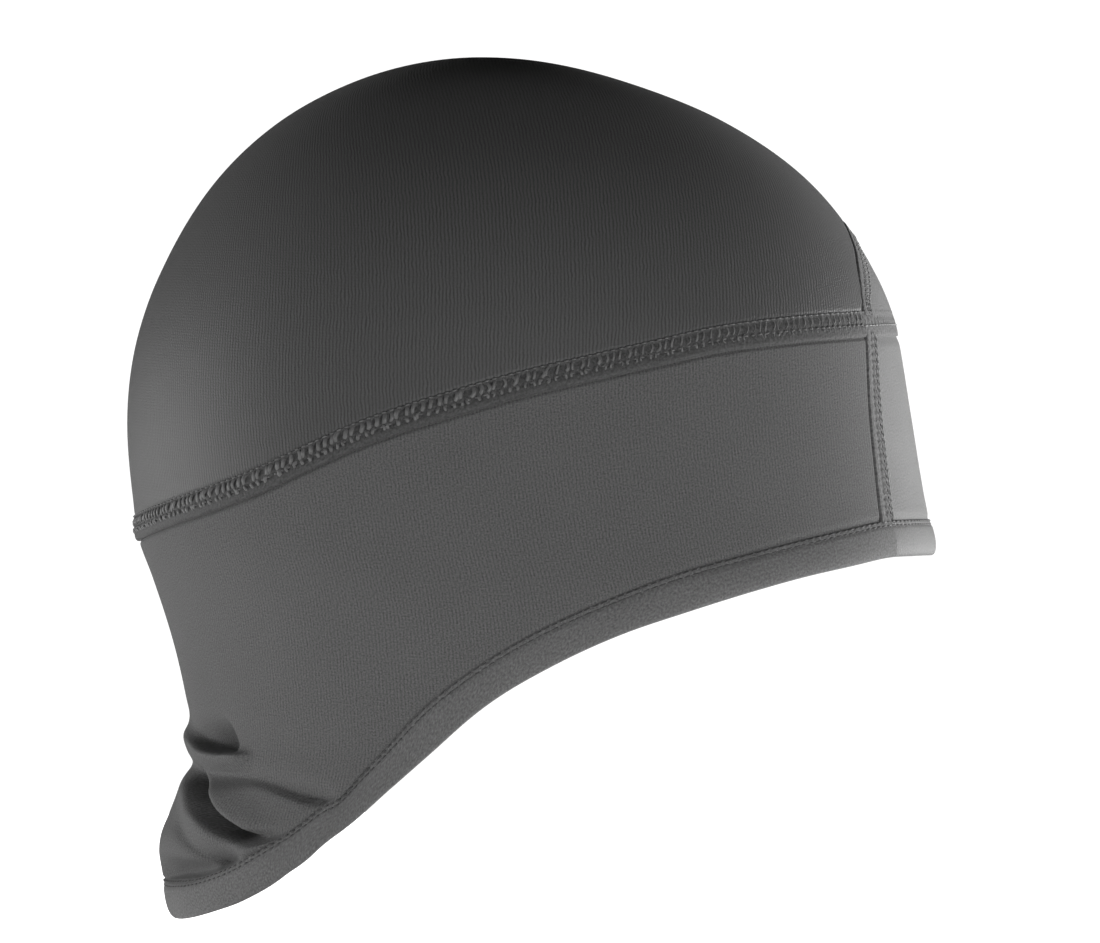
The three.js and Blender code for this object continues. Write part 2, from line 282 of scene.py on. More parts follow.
# From the centre back forwards, in degrees and millimetres
FOLDS = {
    "pocket": columns_of(FOLD, [
        (180, -167.2, -0.2, 3, 1.4, 0),
        (175, -168, -0.4, 3.2, 1.2, 0),
        (170.5, -169.4, -1, 3.6, 1.1, 0),
        (166, -170.7, -2.3, 4, 1.1, 0),
        (161, -171.7, -4.4, 4.6, 1.2, 0),
        (156.5, -172.1, -6.8, 5, 1.4, 0),
        (152.8, -172.1, -7.8, 5, 1.5, 0),
        (150.8, -171.8, -7.4, 4.6, 1.5, 0),
        (149.2, -171.4, -4.6, 3.2, 1.4, 0),
        (148.2, -171, 0, 2, 1, 0),
    ]),
    "roll": columns_of(FOLD, [
        (180, -170.4, 2.2, 4.2, 4.2, 0),
        (174, -170.7, 2.3, 3, 3.8, 0),
        (168.5, -171.4, 2.6, 2.1, 3, 0.4),
        (165.5, -172.4, 2.9, 1.8, 2.5, 0.8),
        (161.4, -173.5, 3.2, 1.7, 2.2, 1.1),
        (156.9, -174.2, 3.4, 1.7, 2, 1.2),
        (152.1, -174.5, 3.4, 1.7, 2, 1.2),
        (148.6, -174.3, 3.2, 1.6, 1.9, 1),
        (146.6, -173.8, 2.5, 1.5, 1.8, 0.6),
        (145.2, -173.3, 1.1, 1.4, 1.6, 0.2),
        (144.2, -173, 0, 1.3, 1.5, 0),
    ]),
    "tuck": columns_of(FOLD, [
        (168, -176.6, 0, 1.2, 3, 0),
        (164, -177, -1.4, 1.2, 3, 0),
        (157.3, -177.6, -2.6, 1.2, 3.2, 0),
        (151.4, -177.7, -2.8, 1.3, 3.2, 0),
        (146.9, -177.9, -2.4, 1.8, 2.4, 0),
        (142.5, -178.4, -1.8, 2.6, 1.6, 0),
        (138.9, -179.3, -1.8, 3, 1.2, 0),
        (134, -181, -2.3, 3, 1, 0),
        (129.5, -182.5, -2.7, 3, 0.9, 0),
        (126.3, -183.1, -2.2, 2.6, 0.9, 0),
        (123.5, -183.6, 0, 2, 1, 0),
    ]),
    "lip": columns_of(FOLD, [
        (170, -176.4, 0, 1.5, 1, 0),
        (166, -176.8, 0.5, 2, 1, -0.1),
        (162.5, -177.5, 1, 3, 1, -0.2),
        (159.1, -178.6, 1.4, 4, 1, -0.4),
        (154.9, -180.6, 1.8, 4.5, 1, -0.7),
        (151.3, -183.3, 2.2, 4.5, 1, -1),
        (148, -185.7, 2.3, 4.5, 1, -1.2),
        (144.5, -187.9, 2, 4.5, 1, -1.1),
        (140.3, -190.3, 1.4, 4.5, 1, -0.8),
        (137.3, -191, 0.7, 4, 1, -0.3),
        (133.9, -191, 0, 3, 1, 0),
    ]),
    "valley": columns_of(FOLD, [
        (180, -177, -1.4, 2, 3, 0),
        (174, -177.2, -1.6, 1.8, 2.8, 0),
        (169.5, -177.5, -2.6, 1.4, 2.8, 0),
        (166, -178, -4.8, 1.2, 3, 0),
        (163, -178.8, -7.4, 1.1, 2.8, 0),
        (159.6, -180.3, -9.8, 1, 2.9, 0),
        (155.4, -182.4, -11.2, 1, 3, 0),
        (152, -185, -11.6, 1, 3.1, 0),
        (148.6, -187.4, -11, 1, 3.3, 0),
        (145, -189.5, -9.4, 1, 3.5, 0),
        (140.8, -191.5, -6.6, 1, 3, 0),
        (137, -192.2, -3.8, 1.2, 2.4, 0),
        (133, -192, -1.6, 1.4, 2, 0),
        (129, -190.4, 0, 1.5, 2, 0),
    ]),
    "swell": columns_of(FOLD, [
        (178, -182.6, 0, 3, 4.5, 0),
        (171, -182.6, 0.7, 3, 4.5, 0),
        (165, -183.6, 2, 3, 4.5, 0.4),
        (160, -187.3, 3, 3, 4.2, 0.6),
        (157, -189.8, 3.4, 3, 4, 0.7),
        (150.3, -192.8, 3.6, 3, 4, 0.7),
        (143.8, -194.5, 3.1, 2.8, 4, 0.5),
        (139.5, -195.4, 2.3, 2.6, 4, 0.2),
        (134, -195.2, 1.2, 2.4, 4, 0),
        (129.5, -193.6, 0, 2.4, 4, 0),
    ]),
    "last crease": columns_of(FOLD, [
        (166, -190, 0, 5, 2.4, 0),
        (162.6, -191.2, -0.9, 5, 2.2, 0),
        (157.6, -194.4, -1.9, 5.5, 2, 0),
        (152.7, -197.6, -2.7, 6, 1.8, 0),
        (148, -200.2, -3.4, 7, 1.6, 0),
        (144, -201.6, -3.6, 8, 1.4, 0),
        (140, -202, -2.4, 7, 1.2, 0),
        (135, -200, 0, 5, 1, 0),
    ]),
}
# The folds lie beyond this angle and below this height, and fade out this far over the hem
FOLDS_FROM_ANGLE, FOLDS_TOP = 116, -158
FOLD_FADE_HEIGHT = 1.5
# Millimetres round the cap for each degree
DEGREE_AT_NAPE = 1.35
POINTS_PER_STRETCH = 8
# The hem holds the cloth of the flap in, so there is a dip over it; `over` is its height there
HEM_DIP = columns_of("angle over lift above below", [
    (137, 1, 0, 3, 1.2), (143, 1, -1.8, 3.4, 1.2), (150, 1, -4.4, 4, 1.2),
    (159, 1, -6, 4.4, 1.2), (167, 1, -5.4, 4.8, 1.2), (174, 1, -2.4, 4.8, 1.2),
    (180, 1, 0.5, 4.4, 1.2),
])
hem_dip = {key: curve_through(HEM_DIP["angle"], HEM_DIP[key], level_ends=True) for key in HEM_DIP}


def drawn_finely(table):
    """A fold's table at many places along its line."""
    marks = np.arange(len(table["angle"]))
    fine = np.linspace(0, marks[-1], POINTS_PER_STRETCH * marks[-1] + 1)
    return {key: curve_through(marks, table[key])(fine) for key in table}


fold_lines = [drawn_finely(table) for table in FOLDS.values()]


def eased(value, start, end):
    t = np.clip((value - start) / (end - start), 0, 1)
    return t * t * (3 - 2 * t)


def hump(distance, above, below):
    """1 on a line, fading on its two sides over two distances."""
    return np.exp(-((distance / np.where(distance > 0, above, below)) ** 2))


def fold_at(fold, across, height):
    """A fold's lift at places on the flat nape, and its lean as steps across and up."""
    start = np.stack([fold["angle"] * DEGREE_AT_NAPE, fold["height"]], -1)
    stretch = np.diff(start, axis=0)
    start = start[:-1]
    length = np.linalg.norm(stretch, axis=-1)
    upward = np.stack([stretch[:, 1], -stretch[:, 0]], -1) / length[:, None]
    away = np.stack([across, height], -1)[:, None] - start
    share = np.clip((away * stretch).sum(-1) / length ** 2, 0, 1)
    away = away - stretch * share[..., None]
    nearest = (away ** 2).sum(-1).argmin(-1)
    row = np.arange(len(across))
    away, share, upward = away[row, nearest], share[row, nearest], upward[nearest]
    side = np.sign((away * upward).sum(-1))
    here = {key: fold[key][nearest] * (1 - share) + fold[key][nearest + 1] * share for key in fold}
    shape = hump(np.linalg.norm(away, axis=-1) * side, here["above"], here["below"])
    return here["lift"] * shape, (here["lean"] * shape)[:, None] * upward


def folds_at(angle, height):
    """How far the cloth is lifted off the form, and moved round and up along it."""
    angle, height = np.broadcast_arrays(np.asarray(angle, float), height)
    lift, round_by, up_by = (np.zeros(angle.shape) for _ in range(3))
    turned = np.abs(angle)
    near = (turned > FOLDS_FROM_ANGLE) & (height < FOLDS_TOP)
    if near.any():
        over_hem = (height - hem_line(angle))[near]
        free = eased(over_hem, 0, FOLD_FADE_HEIGHT)
        for fold in fold_lines:
            by, lean = fold_at(fold, turned[near] * DEGREE_AT_NAPE, height[near])
            lift[near] += by * free
            round_by[near] += lean[:, 0] * free / DEGREE_AT_NAPE * np.sign(angle[near])
            up_by[near] += lean[:, 1] * free
        over, dip, above, below = (hem_dip[key](turned[near])
                                   for key in ("over", "lift", "above", "below"))
        lift[near] += dip * hump(over_hem - over, above, below)
    return lift, round_by, up_by


def on_cap(angle, height, lift=0.0):
    """A place on the worn cap in metres, lifted off the outside of the cloth."""
    fold, round_by, up_by = folds_at(angle, height)
    angle, depth = angle + round_by, depth_of(height + up_by)
    out = form_normal(angle, depth)
    return (form_point(angle, depth) + out * (fold + lift)[..., None]) * MM


# %% [markdown]
# ## Cloth as a closed sheet
#
# A sheet of cloth has two faces and a thickness. A single surface with a Solidify modifier would
# do for flat cloth, but the strips, the rolled edges and the folded hem each have a section of
# their own. So each piece is swept: a closed section goes along the piece, over its outside first
# and back along its inside. The same sweep writes a map in millimetres of cloth, which is what
# the knitted pattern is drawn on, and it measures the sheet.

# %% Sweep a section into a piece of cloth
MAP_NAME = "cloth_mm"
CREASE_ANGLE = math.radians(48)


def add_piece(name, vertices, faces, materials):
    mesh = bpy.data.meshes.new(name)
    mesh.from_pydata(vertices.reshape(-1, 3).tolist(), [], faces.tolist())
    for material in materials:
        mesh.materials.append(material)
    return add_object(name, mesh)


def sweep_cloth(name, sections, places, outside, materials, ring=False, pole=False, third=None):
    """A closed piece from sections[i, j]: i goes along the piece and j once round its section.

    The first `outside` points of a section are the face side. places[i, j] are the same points
    on the flat cloth, in millimetres. A ring has one more column of places than of sections.
    The face is of the first material and the back of the second; where `third` is true for a
    column, its face is of the third.
    """
    count, around = sections.shape[:2]
    i, j = (index.ravel() for index in np.indices((count - (not ring), around)))

    def corner(a, b):
        return (a % count) * around + b % around

    faces = [corner(i, j), corner(i + 1, j), corner(i + 1, j + 1), corner(i, j + 1)]
    faces = np.stack(faces, -1)
    k = (j + 1) % around
    spots = np.stack([places[i, j], places[i + 1, j], places[i + 1, k], places[i, k]], 1)
    back = (j >= outside - 1).astype(int)
    if third is not None:
        back = np.where((back == 0) & third[i], 2, back)
    if not ring:
        m = np.arange(around // 2 - 1)
        for end, a, b in ((0, m, m + 1), (count - 1, m + 1, m)):
            pair = [(end, a), (end, b), (end, around - 1 - b), (end, around - 1 - a)]
            faces = np.vstack([faces, np.stack([corner(*one) for one in pair], -1)])
            spots = np.vstack([spots, np.stack([places[one] for one in pair], 1)])
            back = np.append(back, np.ones(len(m), int))
    points = sections.reshape(-1, 3)
    a, b, c, d = (points[faces[:, n]] for n in range(4))
    if np.einsum("ij,ij->i", a + b + c + d, np.cross(c - a, d - b)).sum() < 0:
        faces, spots = faces[:, ::-1], spots[:, ::-1]
    piece = add_piece(name, sections, faces, materials)
    mesh = piece.data
    mesh.uv_layers.new(name=MAP_NAME).data.foreach_set("uv", spots.ravel())
    mesh.polygons.foreach_set("material_index", back)
    if pole:
        joined = bmesh.new()
        joined.from_mesh(mesh)
        bmesh.ops.remove_doubles(joined, verts=joined.verts, dist=1e-7)
        joined.to_mesh(mesh)
        joined.free()
    mesh.shade_smooth()
    mesh.set_sharp_from_angle(angle=CREASE_ANGLE)
    print(name, len(mesh.polygons), "faces")
    return piece


# %% Distances over the form, for the map of the cloth
TABLE_ANGLES = np.linspace(-180, 180, 721)
BELOW_THE_RIM = -226
TABLE_DEPTHS = np.linspace(0, float(depth_of(BELOW_THE_RIM)), 301)
table_points = form_point(TABLE_ANGLES[:, None], TABLE_DEPTHS[None])
round_steps = np.linalg.norm(np.diff(table_points, axis=0), axis=-1)
down_steps = np.linalg.norm(np.diff(table_points, axis=1), axis=-1)
ROUND_LENGTH = np.vstack([np.zeros((1, len(TABLE_DEPTHS))), np.cumsum(round_steps, 0)])
DOWN_LENGTH = np.hstack([np.zeros((len(TABLE_ANGLES), 1)), np.cumsum(down_steps, 1)])


def looked_up(table, angle, depth):
    """A value between the four nearest of a table over angles and depths."""
    a = (angle - TABLE_ANGLES[0]) / (TABLE_ANGLES[1] - TABLE_ANGLES[0])
    d = depth / TABLE_DEPTHS[1]
    i = np.clip(a.astype(int), 0, table.shape[0] - 2)
    j = np.clip(d.astype(int), 0, table.shape[1] - 2)
    a, d = a - i, d - j
    near = table[i, j] * (1 - d) + table[i, j + 1] * d
    far = table[i + 1, j] * (1 - d) + table[i + 1, j + 1] * d
    return near * (1 - a) + far * a


def place_on_cloth(angle, height, middle):
    """Across: along a level line from the middle of the panel. Up: along the form."""
    angle, height = np.broadcast_arrays(np.asarray(angle, float), height)
    depth = depth_of(height)
    across = looked_up(ROUND_LENGTH, angle, depth)
    across = across - looked_up(ROUND_LENGTH, np.full_like(angle, middle), depth)
    return np.stack([across, -looked_up(DOWN_LENGTH, angle, depth)], -1)


print("widest girth, mm:", ROUND_LENGTH[-1].max().round(0))

# %% [markdown]
# ## One helper for shader nodes
#
# Materials are networks of nodes. Writing each link by hand is long, and a helper for each kind of
# node hides what is used. One small function is enough: it adds a node, sets what is given, and
# links what comes from another node. Colours are written as sRGB hex, as a colour picker shows
# them, and turned to the linear values that the shader works with.

# %% Nodes and colours
def set_inputs(tree, node, inputs):
    """inputs maps a socket to a value, or to a node or one of its outputs, to link it."""
    for name, value in dict(inputs).items():
        if isinstance(value, bpy.types.Node):
            value = value.outputs[0]
        if isinstance(value, bpy.types.NodeSocket):
            tree.links.new(value, node.inputs[name])
        else:
            node.inputs[name].default_value = value


def add_node(tree, kind, inputs=(), **settings):
    node = tree.nodes.new("ShaderNode" + kind)
    for name, value in settings.items():
        setattr(node, name, value)
    set_inputs(tree, node, inputs)
    return node


def new_material(name):
    material = bpy.data.materials.new(name)
    material.use_nodes = True
    return material, material.node_tree, material.node_tree.nodes["Principled BSDF"]


def linear(colour):
    channels = [int(colour[n:n + 2], 16) / 255 for n in (1, 3, 5)]
    return [c / 12.92 if c <= 0.04045 else ((c + 0.055) / 1.055) ** 2.4 for c in channels] + [1]


# %% [markdown]
# ## Knitted polyester
#
# The cap is a polyester and elastane knit, dyed charcoal. A knit is made of columns of loops,
# called wales, crossed by rows, called courses. In the worn cap the wales stand 0.9 mm apart.
# Each loop looks like a V, so the rows are bent into a chevron inside each wale. The pattern
# could be modelled as yarn, but a cap has about a hundred thousand loops, so it is a bump and a
# change of colour on the map in millimetres; the colour holds painted shade between the wales.
# The face of the crown is smooth and satiny, the band is brushed, which breaks the wales up with
# fuzz, and every back is raised into fleece.

# %% Knitted cloth material
WALE = 0.9
COURSE = 0.75
# Wales wander sideways by this much, with so many waves in a millimetre
WANDER, WANDER_WAVES = 0.9, 0.35
# A row of loops drops by this much for each millimetre from the middle of a wale
LOOP_SLANT = -0.8
# The rib wave is 1 on a wale and 0 between two, and this on average
RIB_MEAN = 0.6
# The relief of the faintest wale, for 1 of the clearest
FAINTEST_WALE = 0.4
LOOP_HEIGHT = 0.12
TUFT_HEIGHT = 0.12
STREAK_SIZE, PATCH_SIZE = 4, 22
NOISE_LOW, NOISE_HIGH = 0.32, 0.68
DULLNESS_SPREAD = 0.07
POLYESTER_IOR = 1.57


def knitted(name, dark, light, roughness, wale_depth, fuzz, fuzz_size, painted_wale_shade, sheen, mottle=0.25):
    """Dyed knit. fuzz says how much brushed fibre changes its colour; the wale shade says how much
    shade is painted between the wales.
    """
    material, tree, shader = new_material(name)
    place = add_node(tree, "UVMap", uv_map=MAP_NAME)
    split = add_node(tree, "SeparateXYZ", {0: place})
    # A loop's yarn wanders a little, so the wales aren't ruled lines
    wander = add_node(tree, "TexNoise", {"Vector": place, "Scale": WANDER_WAVES, "Detail": 2})
    across = add_node(tree, "Math", {0: wander, 1: WANDER, 2: split.outputs[0]},
                      operation="MULTIPLY_ADD")
    # 0 in the middle of a wale, half a wale at its edges
    off_middle = add_node(tree, "Math", {0: across, 1: WALE / 2}, operation="PINGPONG")
    rib = add_node(tree, "MapRange", {
        "Value": off_middle, "From Min": WALE / 2, "From Max": WALE / 10,
    }, interpolation_type="SMOOTHSTEP")
    slanted = add_node(tree, "Math", {
        0: off_middle, 1: LOOP_SLANT, 2: split.outputs[1],
    }, operation="MULTIPLY_ADD")
    turns = add_node(tree, "Math", {0: slanted, 1: math.tau / COURSE}, operation="MULTIPLY")
    loops = add_node(tree, "Math", {0: turns}, operation="SINE")
    # Raised fibres stand in tufts, and some wales are clearer than others
    layers = {}
    for layer, size, detail in (
            ("fibres", fuzz_size, 2), ("streaks", STREAK_SIZE, 2), ("patches", PATCH_SIZE, 3)):
        noise = add_node(tree, "TexNoise", {
            "Vector": place, "Scale": 1 / size, "Detail": detail, "Roughness": 0.6,
        })
        layers[layer] = add_node(tree, "MapRange", {
            "Value": noise, "From Min": NOISE_LOW, "From Max": NOISE_HIGH,
        })
    clear = add_node(tree, "MapRange", {"Value": layers["streaks"], "To Min": FAINTEST_WALE})
    off_mean = add_node(tree, "Math", {0: rib, 1: RIB_MEAN}, operation="SUBTRACT")
    # A faint rib keeps its average, so that a faint place isn't darker or lighter
    clear_rib = add_node(tree, "Math", {0: off_mean, 1: clear, 2: RIB_MEAN},
                         operation="MULTIPLY_ADD")
    # Colour: painted shade between the wales and lighter on them, lighter on raised fibres, with
    # faint patches from handling
    tone = 0.5 - (painted_wale_shade * 0.3 + fuzz * 0.5 + mottle * 0.5)
    for layer, share in ((clear_rib, painted_wale_shade), (layers["fibres"], fuzz), (layers["patches"], mottle)):
        tone = add_node(tree, "Math", {0: layer, 1: share, 2: tone}, operation="MULTIPLY_ADD")
    colour = add_node(tree, "Mix", {0: tone, 6: linear(dark), 7: linear(light)},
                      data_type="RGBA", clamp_factor=False).outputs[2]
    dull = add_node(tree, "MapRange", {
        "Value": layers["fibres"],
        "To Min": roughness - DULLNESS_SPREAD, "To Max": roughness + DULLNESS_SPREAD,
    })
    # Relief: wales with their loops, then loose fibres over them
    relief = add_node(tree, "Math", {0: loops, 1: LOOP_HEIGHT, 2: clear_rib},
                      operation="MULTIPLY_ADD")
    knit = add_node(tree, "Bump", {
        "Height": relief, "Distance": wale_depth * MM, "Strength": 0.8,
    })
    nap = add_node(tree, "Bump", {
        "Height": layers["fibres"], "Distance": fuzz * TUFT_HEIGHT * MM, "Strength": 0.8,
        "Normal": knit,
    })
    set_inputs(tree, shader, {
        "Base Color": colour, "Roughness": dull, "Normal": nap, "IOR": POLYESTER_IOR,
        "Specular IOR Level": 0.35, "Sheen Weight": sheen, "Sheen Roughness": 0.45,
        "Sheen Tint": linear("#cccccc"),
    })
    return material


# The crown's satin face: clear wales, little fuzz, and a low gloss along its curve
satin_knit = knitted("satin_face_polyester_knit", "#383838", "#5a5a5a", 0.55, 0.07,
                     fuzz=0.35, fuzz_size=0.45, painted_wale_shade=1.1, sheen=0.2, mottle=0.02)
# The band is brushed after knitting: the fibres that the wires pull up hide most of the wales
brushed_knit = knitted("brushed_polyester_knit", "#474747", "#7a7a7a", 0.8, 0.05,
                       fuzz=0.85, fuzz_size=0.42, painted_wale_shade=0.4, sheen=0.08, mottle=0.05)
# The forehead panel and the insert above it are of the same yarn, painted lighter for the brighter
# light that falls on the forehead
lit_forehead_knit = knitted("forehead_polyester_knit_painted_lighter", "#585858", "#8c8c8c", 0.65, 0.04,
                        fuzz=0.55, fuzz_size=0.6, painted_wale_shade=0.1, sheen=0.3, mottle=0.15)
# A strip's cloth is pressed flat under the stitches
seam_knit = knitted("pressed_seam_polyester_knit", "#383838", "#646464", 0.7, 0.05,
                    fuzz=0.8, fuzz_size=0.7, painted_wale_shade=0.1, sheen=0.2, mottle=0.05)
# The forehead's strips are of the same pressed cloth, painted lighter for the light on the forehead
lit_forehead_seam_knit = knitted("pressed_forehead_seam_knit", "#424242", "#7a7a7a", 0.7, 0.04,
                             fuzz=0.9, fuzz_size=0.8, painted_wale_shade=0.1, sheen=0.3, mottle=0.1)
# The hem shows the cloth's brushed side, a little lighter and fuzzier than the band
hem_knit = knitted("brushed_hem_polyester_knit", "#535353", "#8a8a8a", 0.85, 0.04,
                   fuzz=0.75, fuzz_size=0.6, painted_wale_shade=0.05, sheen=0.3, mottle=0.1)
# The inside is raised into a short fleece
fleece_back = knitted("raised_fleece_back", "#484848", "#707070", 0.95, 0.02,
                      fuzz=0.9, fuzz_size=0.9, painted_wale_shade=0.02, sheen=0.4)
print("materials:", [material.name for material in bpy.data.materials])

# %% [markdown]
# ## The cut size of each sheet
#
# A knit cap is cut smaller than the head, and stretches when it is worn. Tables of cap sizes give
# a girth of about 50 cm for a 57 cm head, so the cloth is stretched by a seventh round the head,
# and by much less from top to bottom. The size that a panel was cut to is its worn size divided
# by those two numbers.

# %% Fit a piece into the frame
STRETCH_ROUND = 1.14
STRETCH_DOWN = 1.04
# A strip is cut wider than it shows: 3.5 mm of each edge is turned under
TURNED_UNDER = 7


def fit_sheet(piece, node, size, upright=False):
    """The piece stands for a CAD node. size is its worn width and length in millimetres."""
    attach(piece, "root")
    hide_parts(node)
    stretch = (STRETCH_DOWN, STRETCH_ROUND) if upright else (STRETCH_ROUND, STRETCH_DOWN)
    flat = [float(worn) / times * MM for worn, times in zip(size, stretch)]
    both_faces = sum(face.area for face in piece.data.polygons)
    area = both_faces / 2 / (STRETCH_ROUND * STRETCH_DOWN)
    area = min(area, flat[0] * flat[1])
    cut = " x ".join(f"{side / MM:.0f}" for side in flat)
    print(f"{piece.name}: cut {cut} mm, {area * 1e4:.0f} cm2")


# %% [markdown]
# ## The crown
#
# The crown is two halves, joined over the top of the head. Each half could be a subdivided patch,
# but a grid that gathers at the top follows the form exactly. Its columns are closer at the
# centre seam, where the two edges roll in and leave a fine groove, and its rows are closer at
# the lower edge, which goes in under the strips.

# %% Crown halves
SIDES = {"right": 1, "left": -1}
CENTRE_GROOVE, CENTRE_GROOVE_WIDTH = -0.7, 1.1
EDGE_ROLL, EDGE_ROLL_WIDTH = -0.5, 0.4
# Under the arch the edge rolls right into the seam line; under the long strip it only dips
ROLL_UNDER_ARCH, ROLL_UNDER_STRIP = 1, 0.35
# A hump that has this on one side doesn't fade there
FAR = 99
# Distances in millimetres from an edge, inwards; below zero the cloth is under its neighbour
NEAR_EDGE = np.array([7, 5.8, 4.8, 4, 3.3, 2.7, 2.2, 1.8, 1.4, 1.1, 0.8, 0.55, 0.3, 0.1,
                      -0.15, -0.5, -1, -1.8])
NEAR_CENTRE = np.array([0, 0.2, 0.4, 0.65, 0.95, 1.3, 1.8, 2.5, 3.5, 4.8])
ARCH_FOOT = 24.7
CROWN_COLUMN = 1.5
CROWN_ROWS = 78


def add_panel(name, material, angle, height, lift, middle, pole=False):
    """A panel over the form, mapped from its middle angle, and its worn width and length."""
    angle, height = np.broadcast_arrays(angle, height)
    outer, inner = on_cap(angle, height, lift), on_cap(angle, height, lift - WALL)
    places = place_on_cloth(angle, height, middle)
    sections, places = (np.concatenate([out, back[:, ::-1]], 1)
                        for out, back in ((outer, inner), (places, places)))
    piece = sweep_cloth(name, sections, places, height.shape[1], [material, fleece_back],
                        pole=pole)
    return piece, np.ptp(places, axis=(0, 1))


def centre_groove(angle, height):
    """The cloth rolls in where two halves meet on the centre plane."""
    off_centre = form_point(angle, depth_of(height))[..., 0]
    return CENTRE_GROOVE * np.exp(-((off_centre / CENTRE_GROOVE_WIDTH) ** 2))


def crown_edge(angle):
    turned = np.abs(angle)
    return np.where(turned < ARCH_FOOT, arch_edge(turned), seam_top(turned))


def crown_half(word, side):
    right = np.concatenate([
        NEAR_CENTRE, np.arange(6, CENTRE_BACK - 6, CROWN_COLUMN), CENTRE_BACK - NEAR_CENTRE[::-1],
    ])
    angle = (right if side > 0 else -right[::-1])[:, None]
    edge = crown_edge(angle)
    share = np.linspace(0, 1, CROWN_ROWS, endpoint=False)[None]
    height = np.hstack([height_of(share * depth_of(edge + NEAR_EDGE[0])), edge + NEAR_EDGE])
    angle, height = np.broadcast_arrays(angle, height)
    roll = np.where(np.abs(angle) < ARCH_FOOT, ROLL_UNDER_ARCH, ROLL_UNDER_STRIP) * EDGE_ROLL
    lift = centre_groove(angle, height) + roll * hump(height - edge, EDGE_ROLL_WIDTH, FAR)
    return add_panel(f"crown_cloth_{word}", satin_knit, angle, height, lift, 90 * side, pole=True)


for word, side in SIDES.items():
    piece, size = crown_half(word, side)
    fit_sheet(piece, f"crown_{word}", size)

# %% [markdown]
# ## Stitches
#
# The seams are flat-locked: several threads run along and across the join, so that it lies flat
# on the skin. They can be painted, but thread that stands off the cloth catches the light and
# throws its own small shadow. Each stitch here is a short bent tube whose ends dive into the
# cloth, and one mesh holds a whole row. Thread of 0.3 mm would be one pixel wide in the
# photograph, so it is drawn at up to 0.5 mm. Where several threads bulge side by side, one
# flattened tube stands for all of them.

# %% Thread material and rows of stitches
THREAD_POINTS, THREAD_SIDES = 6, 6
# A thread's ends go this share of its thickness into the cloth
END_DEPTH = 0.6
# A wave texture repeats every 0.314 / Scale, and the plies of the thread every 0.3 mm
PLY_SCALE = 0.314 / (0.3 * MM)


def spun_thread(name, dark, light):
    """Twisted polyester thread: smoother than the cloth, with a fine twist."""
    material, tree, shader = new_material(name)
    solid = add_node(tree, "TexCoord").outputs["Object"]
    plies = add_node(tree, "TexWave", {
        "Vector": solid, "Scale": PLY_SCALE, "Distortion": 1.5,
    }, bands_direction="DIAGONAL")
    tint = add_node(tree, "TexNoise", {"Vector": solid, "Scale": 1 / (2 * MM)})
    colour = add_node(tree, "Mix", {
        0: tint, 6: linear(dark), 7: linear(light),
    }, data_type="RGBA").outputs[2]
    twist = add_node(tree, "Bump", {
        "Height": plies.outputs[1], "Distance": 0.05 * MM, "Strength": 0.7,
    })
    worn = add_node(tree, "MapRange", {"Value": tint, "To Min": 0.4, "To Max": 0.65})
    set_inputs(tree, shader, {
        "Base Color": colour, "Roughness": worn, "Normal": twist, "IOR": POLYESTER_IOR,
        "Sheen Weight": 0.15,
    })
    return material


seam_thread = spun_thread("spun_polyester_thread", "#585858", "#828282")
# The hem's thread is painted darker than its cloth, for the shade in the sunk needle holes along
# the hem
hole_shade_hem_thread = spun_thread("hole_shade_dark_polyester_thread", "#3c3c3c", "#585858")
light_thread = spun_thread("light_spun_polyester_thread", "#7c7c7c", "#a8a8a8")
uneven = np.random.default_rng(12)


def scattered(values, spread):
    """No two stitches are alike: the same values, each moved a little."""
    return values + spread * uneven.standard_normal(np.shape(values))


def unit(vectors):
    return vectors / np.linalg.norm(vectors, axis=-1, keepdims=True)


def sew(name, starts, ends, out, thickness, bow, curve=0.0, flat=1.0, thread=seam_thread):
    """One mesh of stitches from starts to ends, in mm: bowed out of the cloth, curved sideways.

    flat below 1 presses the threads down, so that they are wider than high.
    """
    thickness, bow, curve = (np.broadcast_to(value, len(starts))[:, None, None]
                             for value in (thickness, bow, curve))
    radius = thickness[..., None] / 2 * MM
    t = np.linspace(0, 1, THREAD_POINTS)[:, None]
    arc = np.sin(np.pi * t)
    rise = (bow * arc - END_DEPTH * thickness * (1 - arc)) * MM
    aside = unit(np.cross(out, ends - starts))[:, None] * curve * arc * MM
    path = starts[:, None] * (1 - t) + ends[:, None] * t + out[:, None] * rise + aside
    along = unit(np.gradient(path, axis=1))
    sideways = unit(np.cross(along, out[:, None]))
    over = np.cross(sideways, along)
    turn = np.linspace(0, math.tau, THREAD_SIDES, endpoint=False)[:, None]
    rings = path[:, :, None] + radius * (
        np.cos(turn) * sideways[:, :, None] + flat * np.sin(turn) * over[:, :, None]
    )
    n, p, s = np.indices((len(starts), THREAD_POINTS - 1, THREAD_SIDES))

    def corner(a, b):
        return ((n * THREAD_POINTS + a) * THREAD_SIDES + b % THREAD_SIDES).ravel()

    sides = np.stack([corner(p, s), corner(p, s + 1), corner(p + 1, s + 1), corner(p + 1, s)], -1)
    piece = add_piece(name, rings, sides, [thread])
    caps = bmesh.new()
    caps.from_mesh(piece.data)
    bmesh.ops.holes_fill(caps, edges=[edge for edge in caps.edges if edge.is_boundary])
    bmesh.ops.recalc_face_normals(caps, faces=caps.faces)
    caps.to_mesh(piece.data)
    caps.free()
    piece.data.shade_smooth()
    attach(piece, "root")
    print(name, len(starts), "stitches,", len(piece.data.polygons), "faces")
    return piece


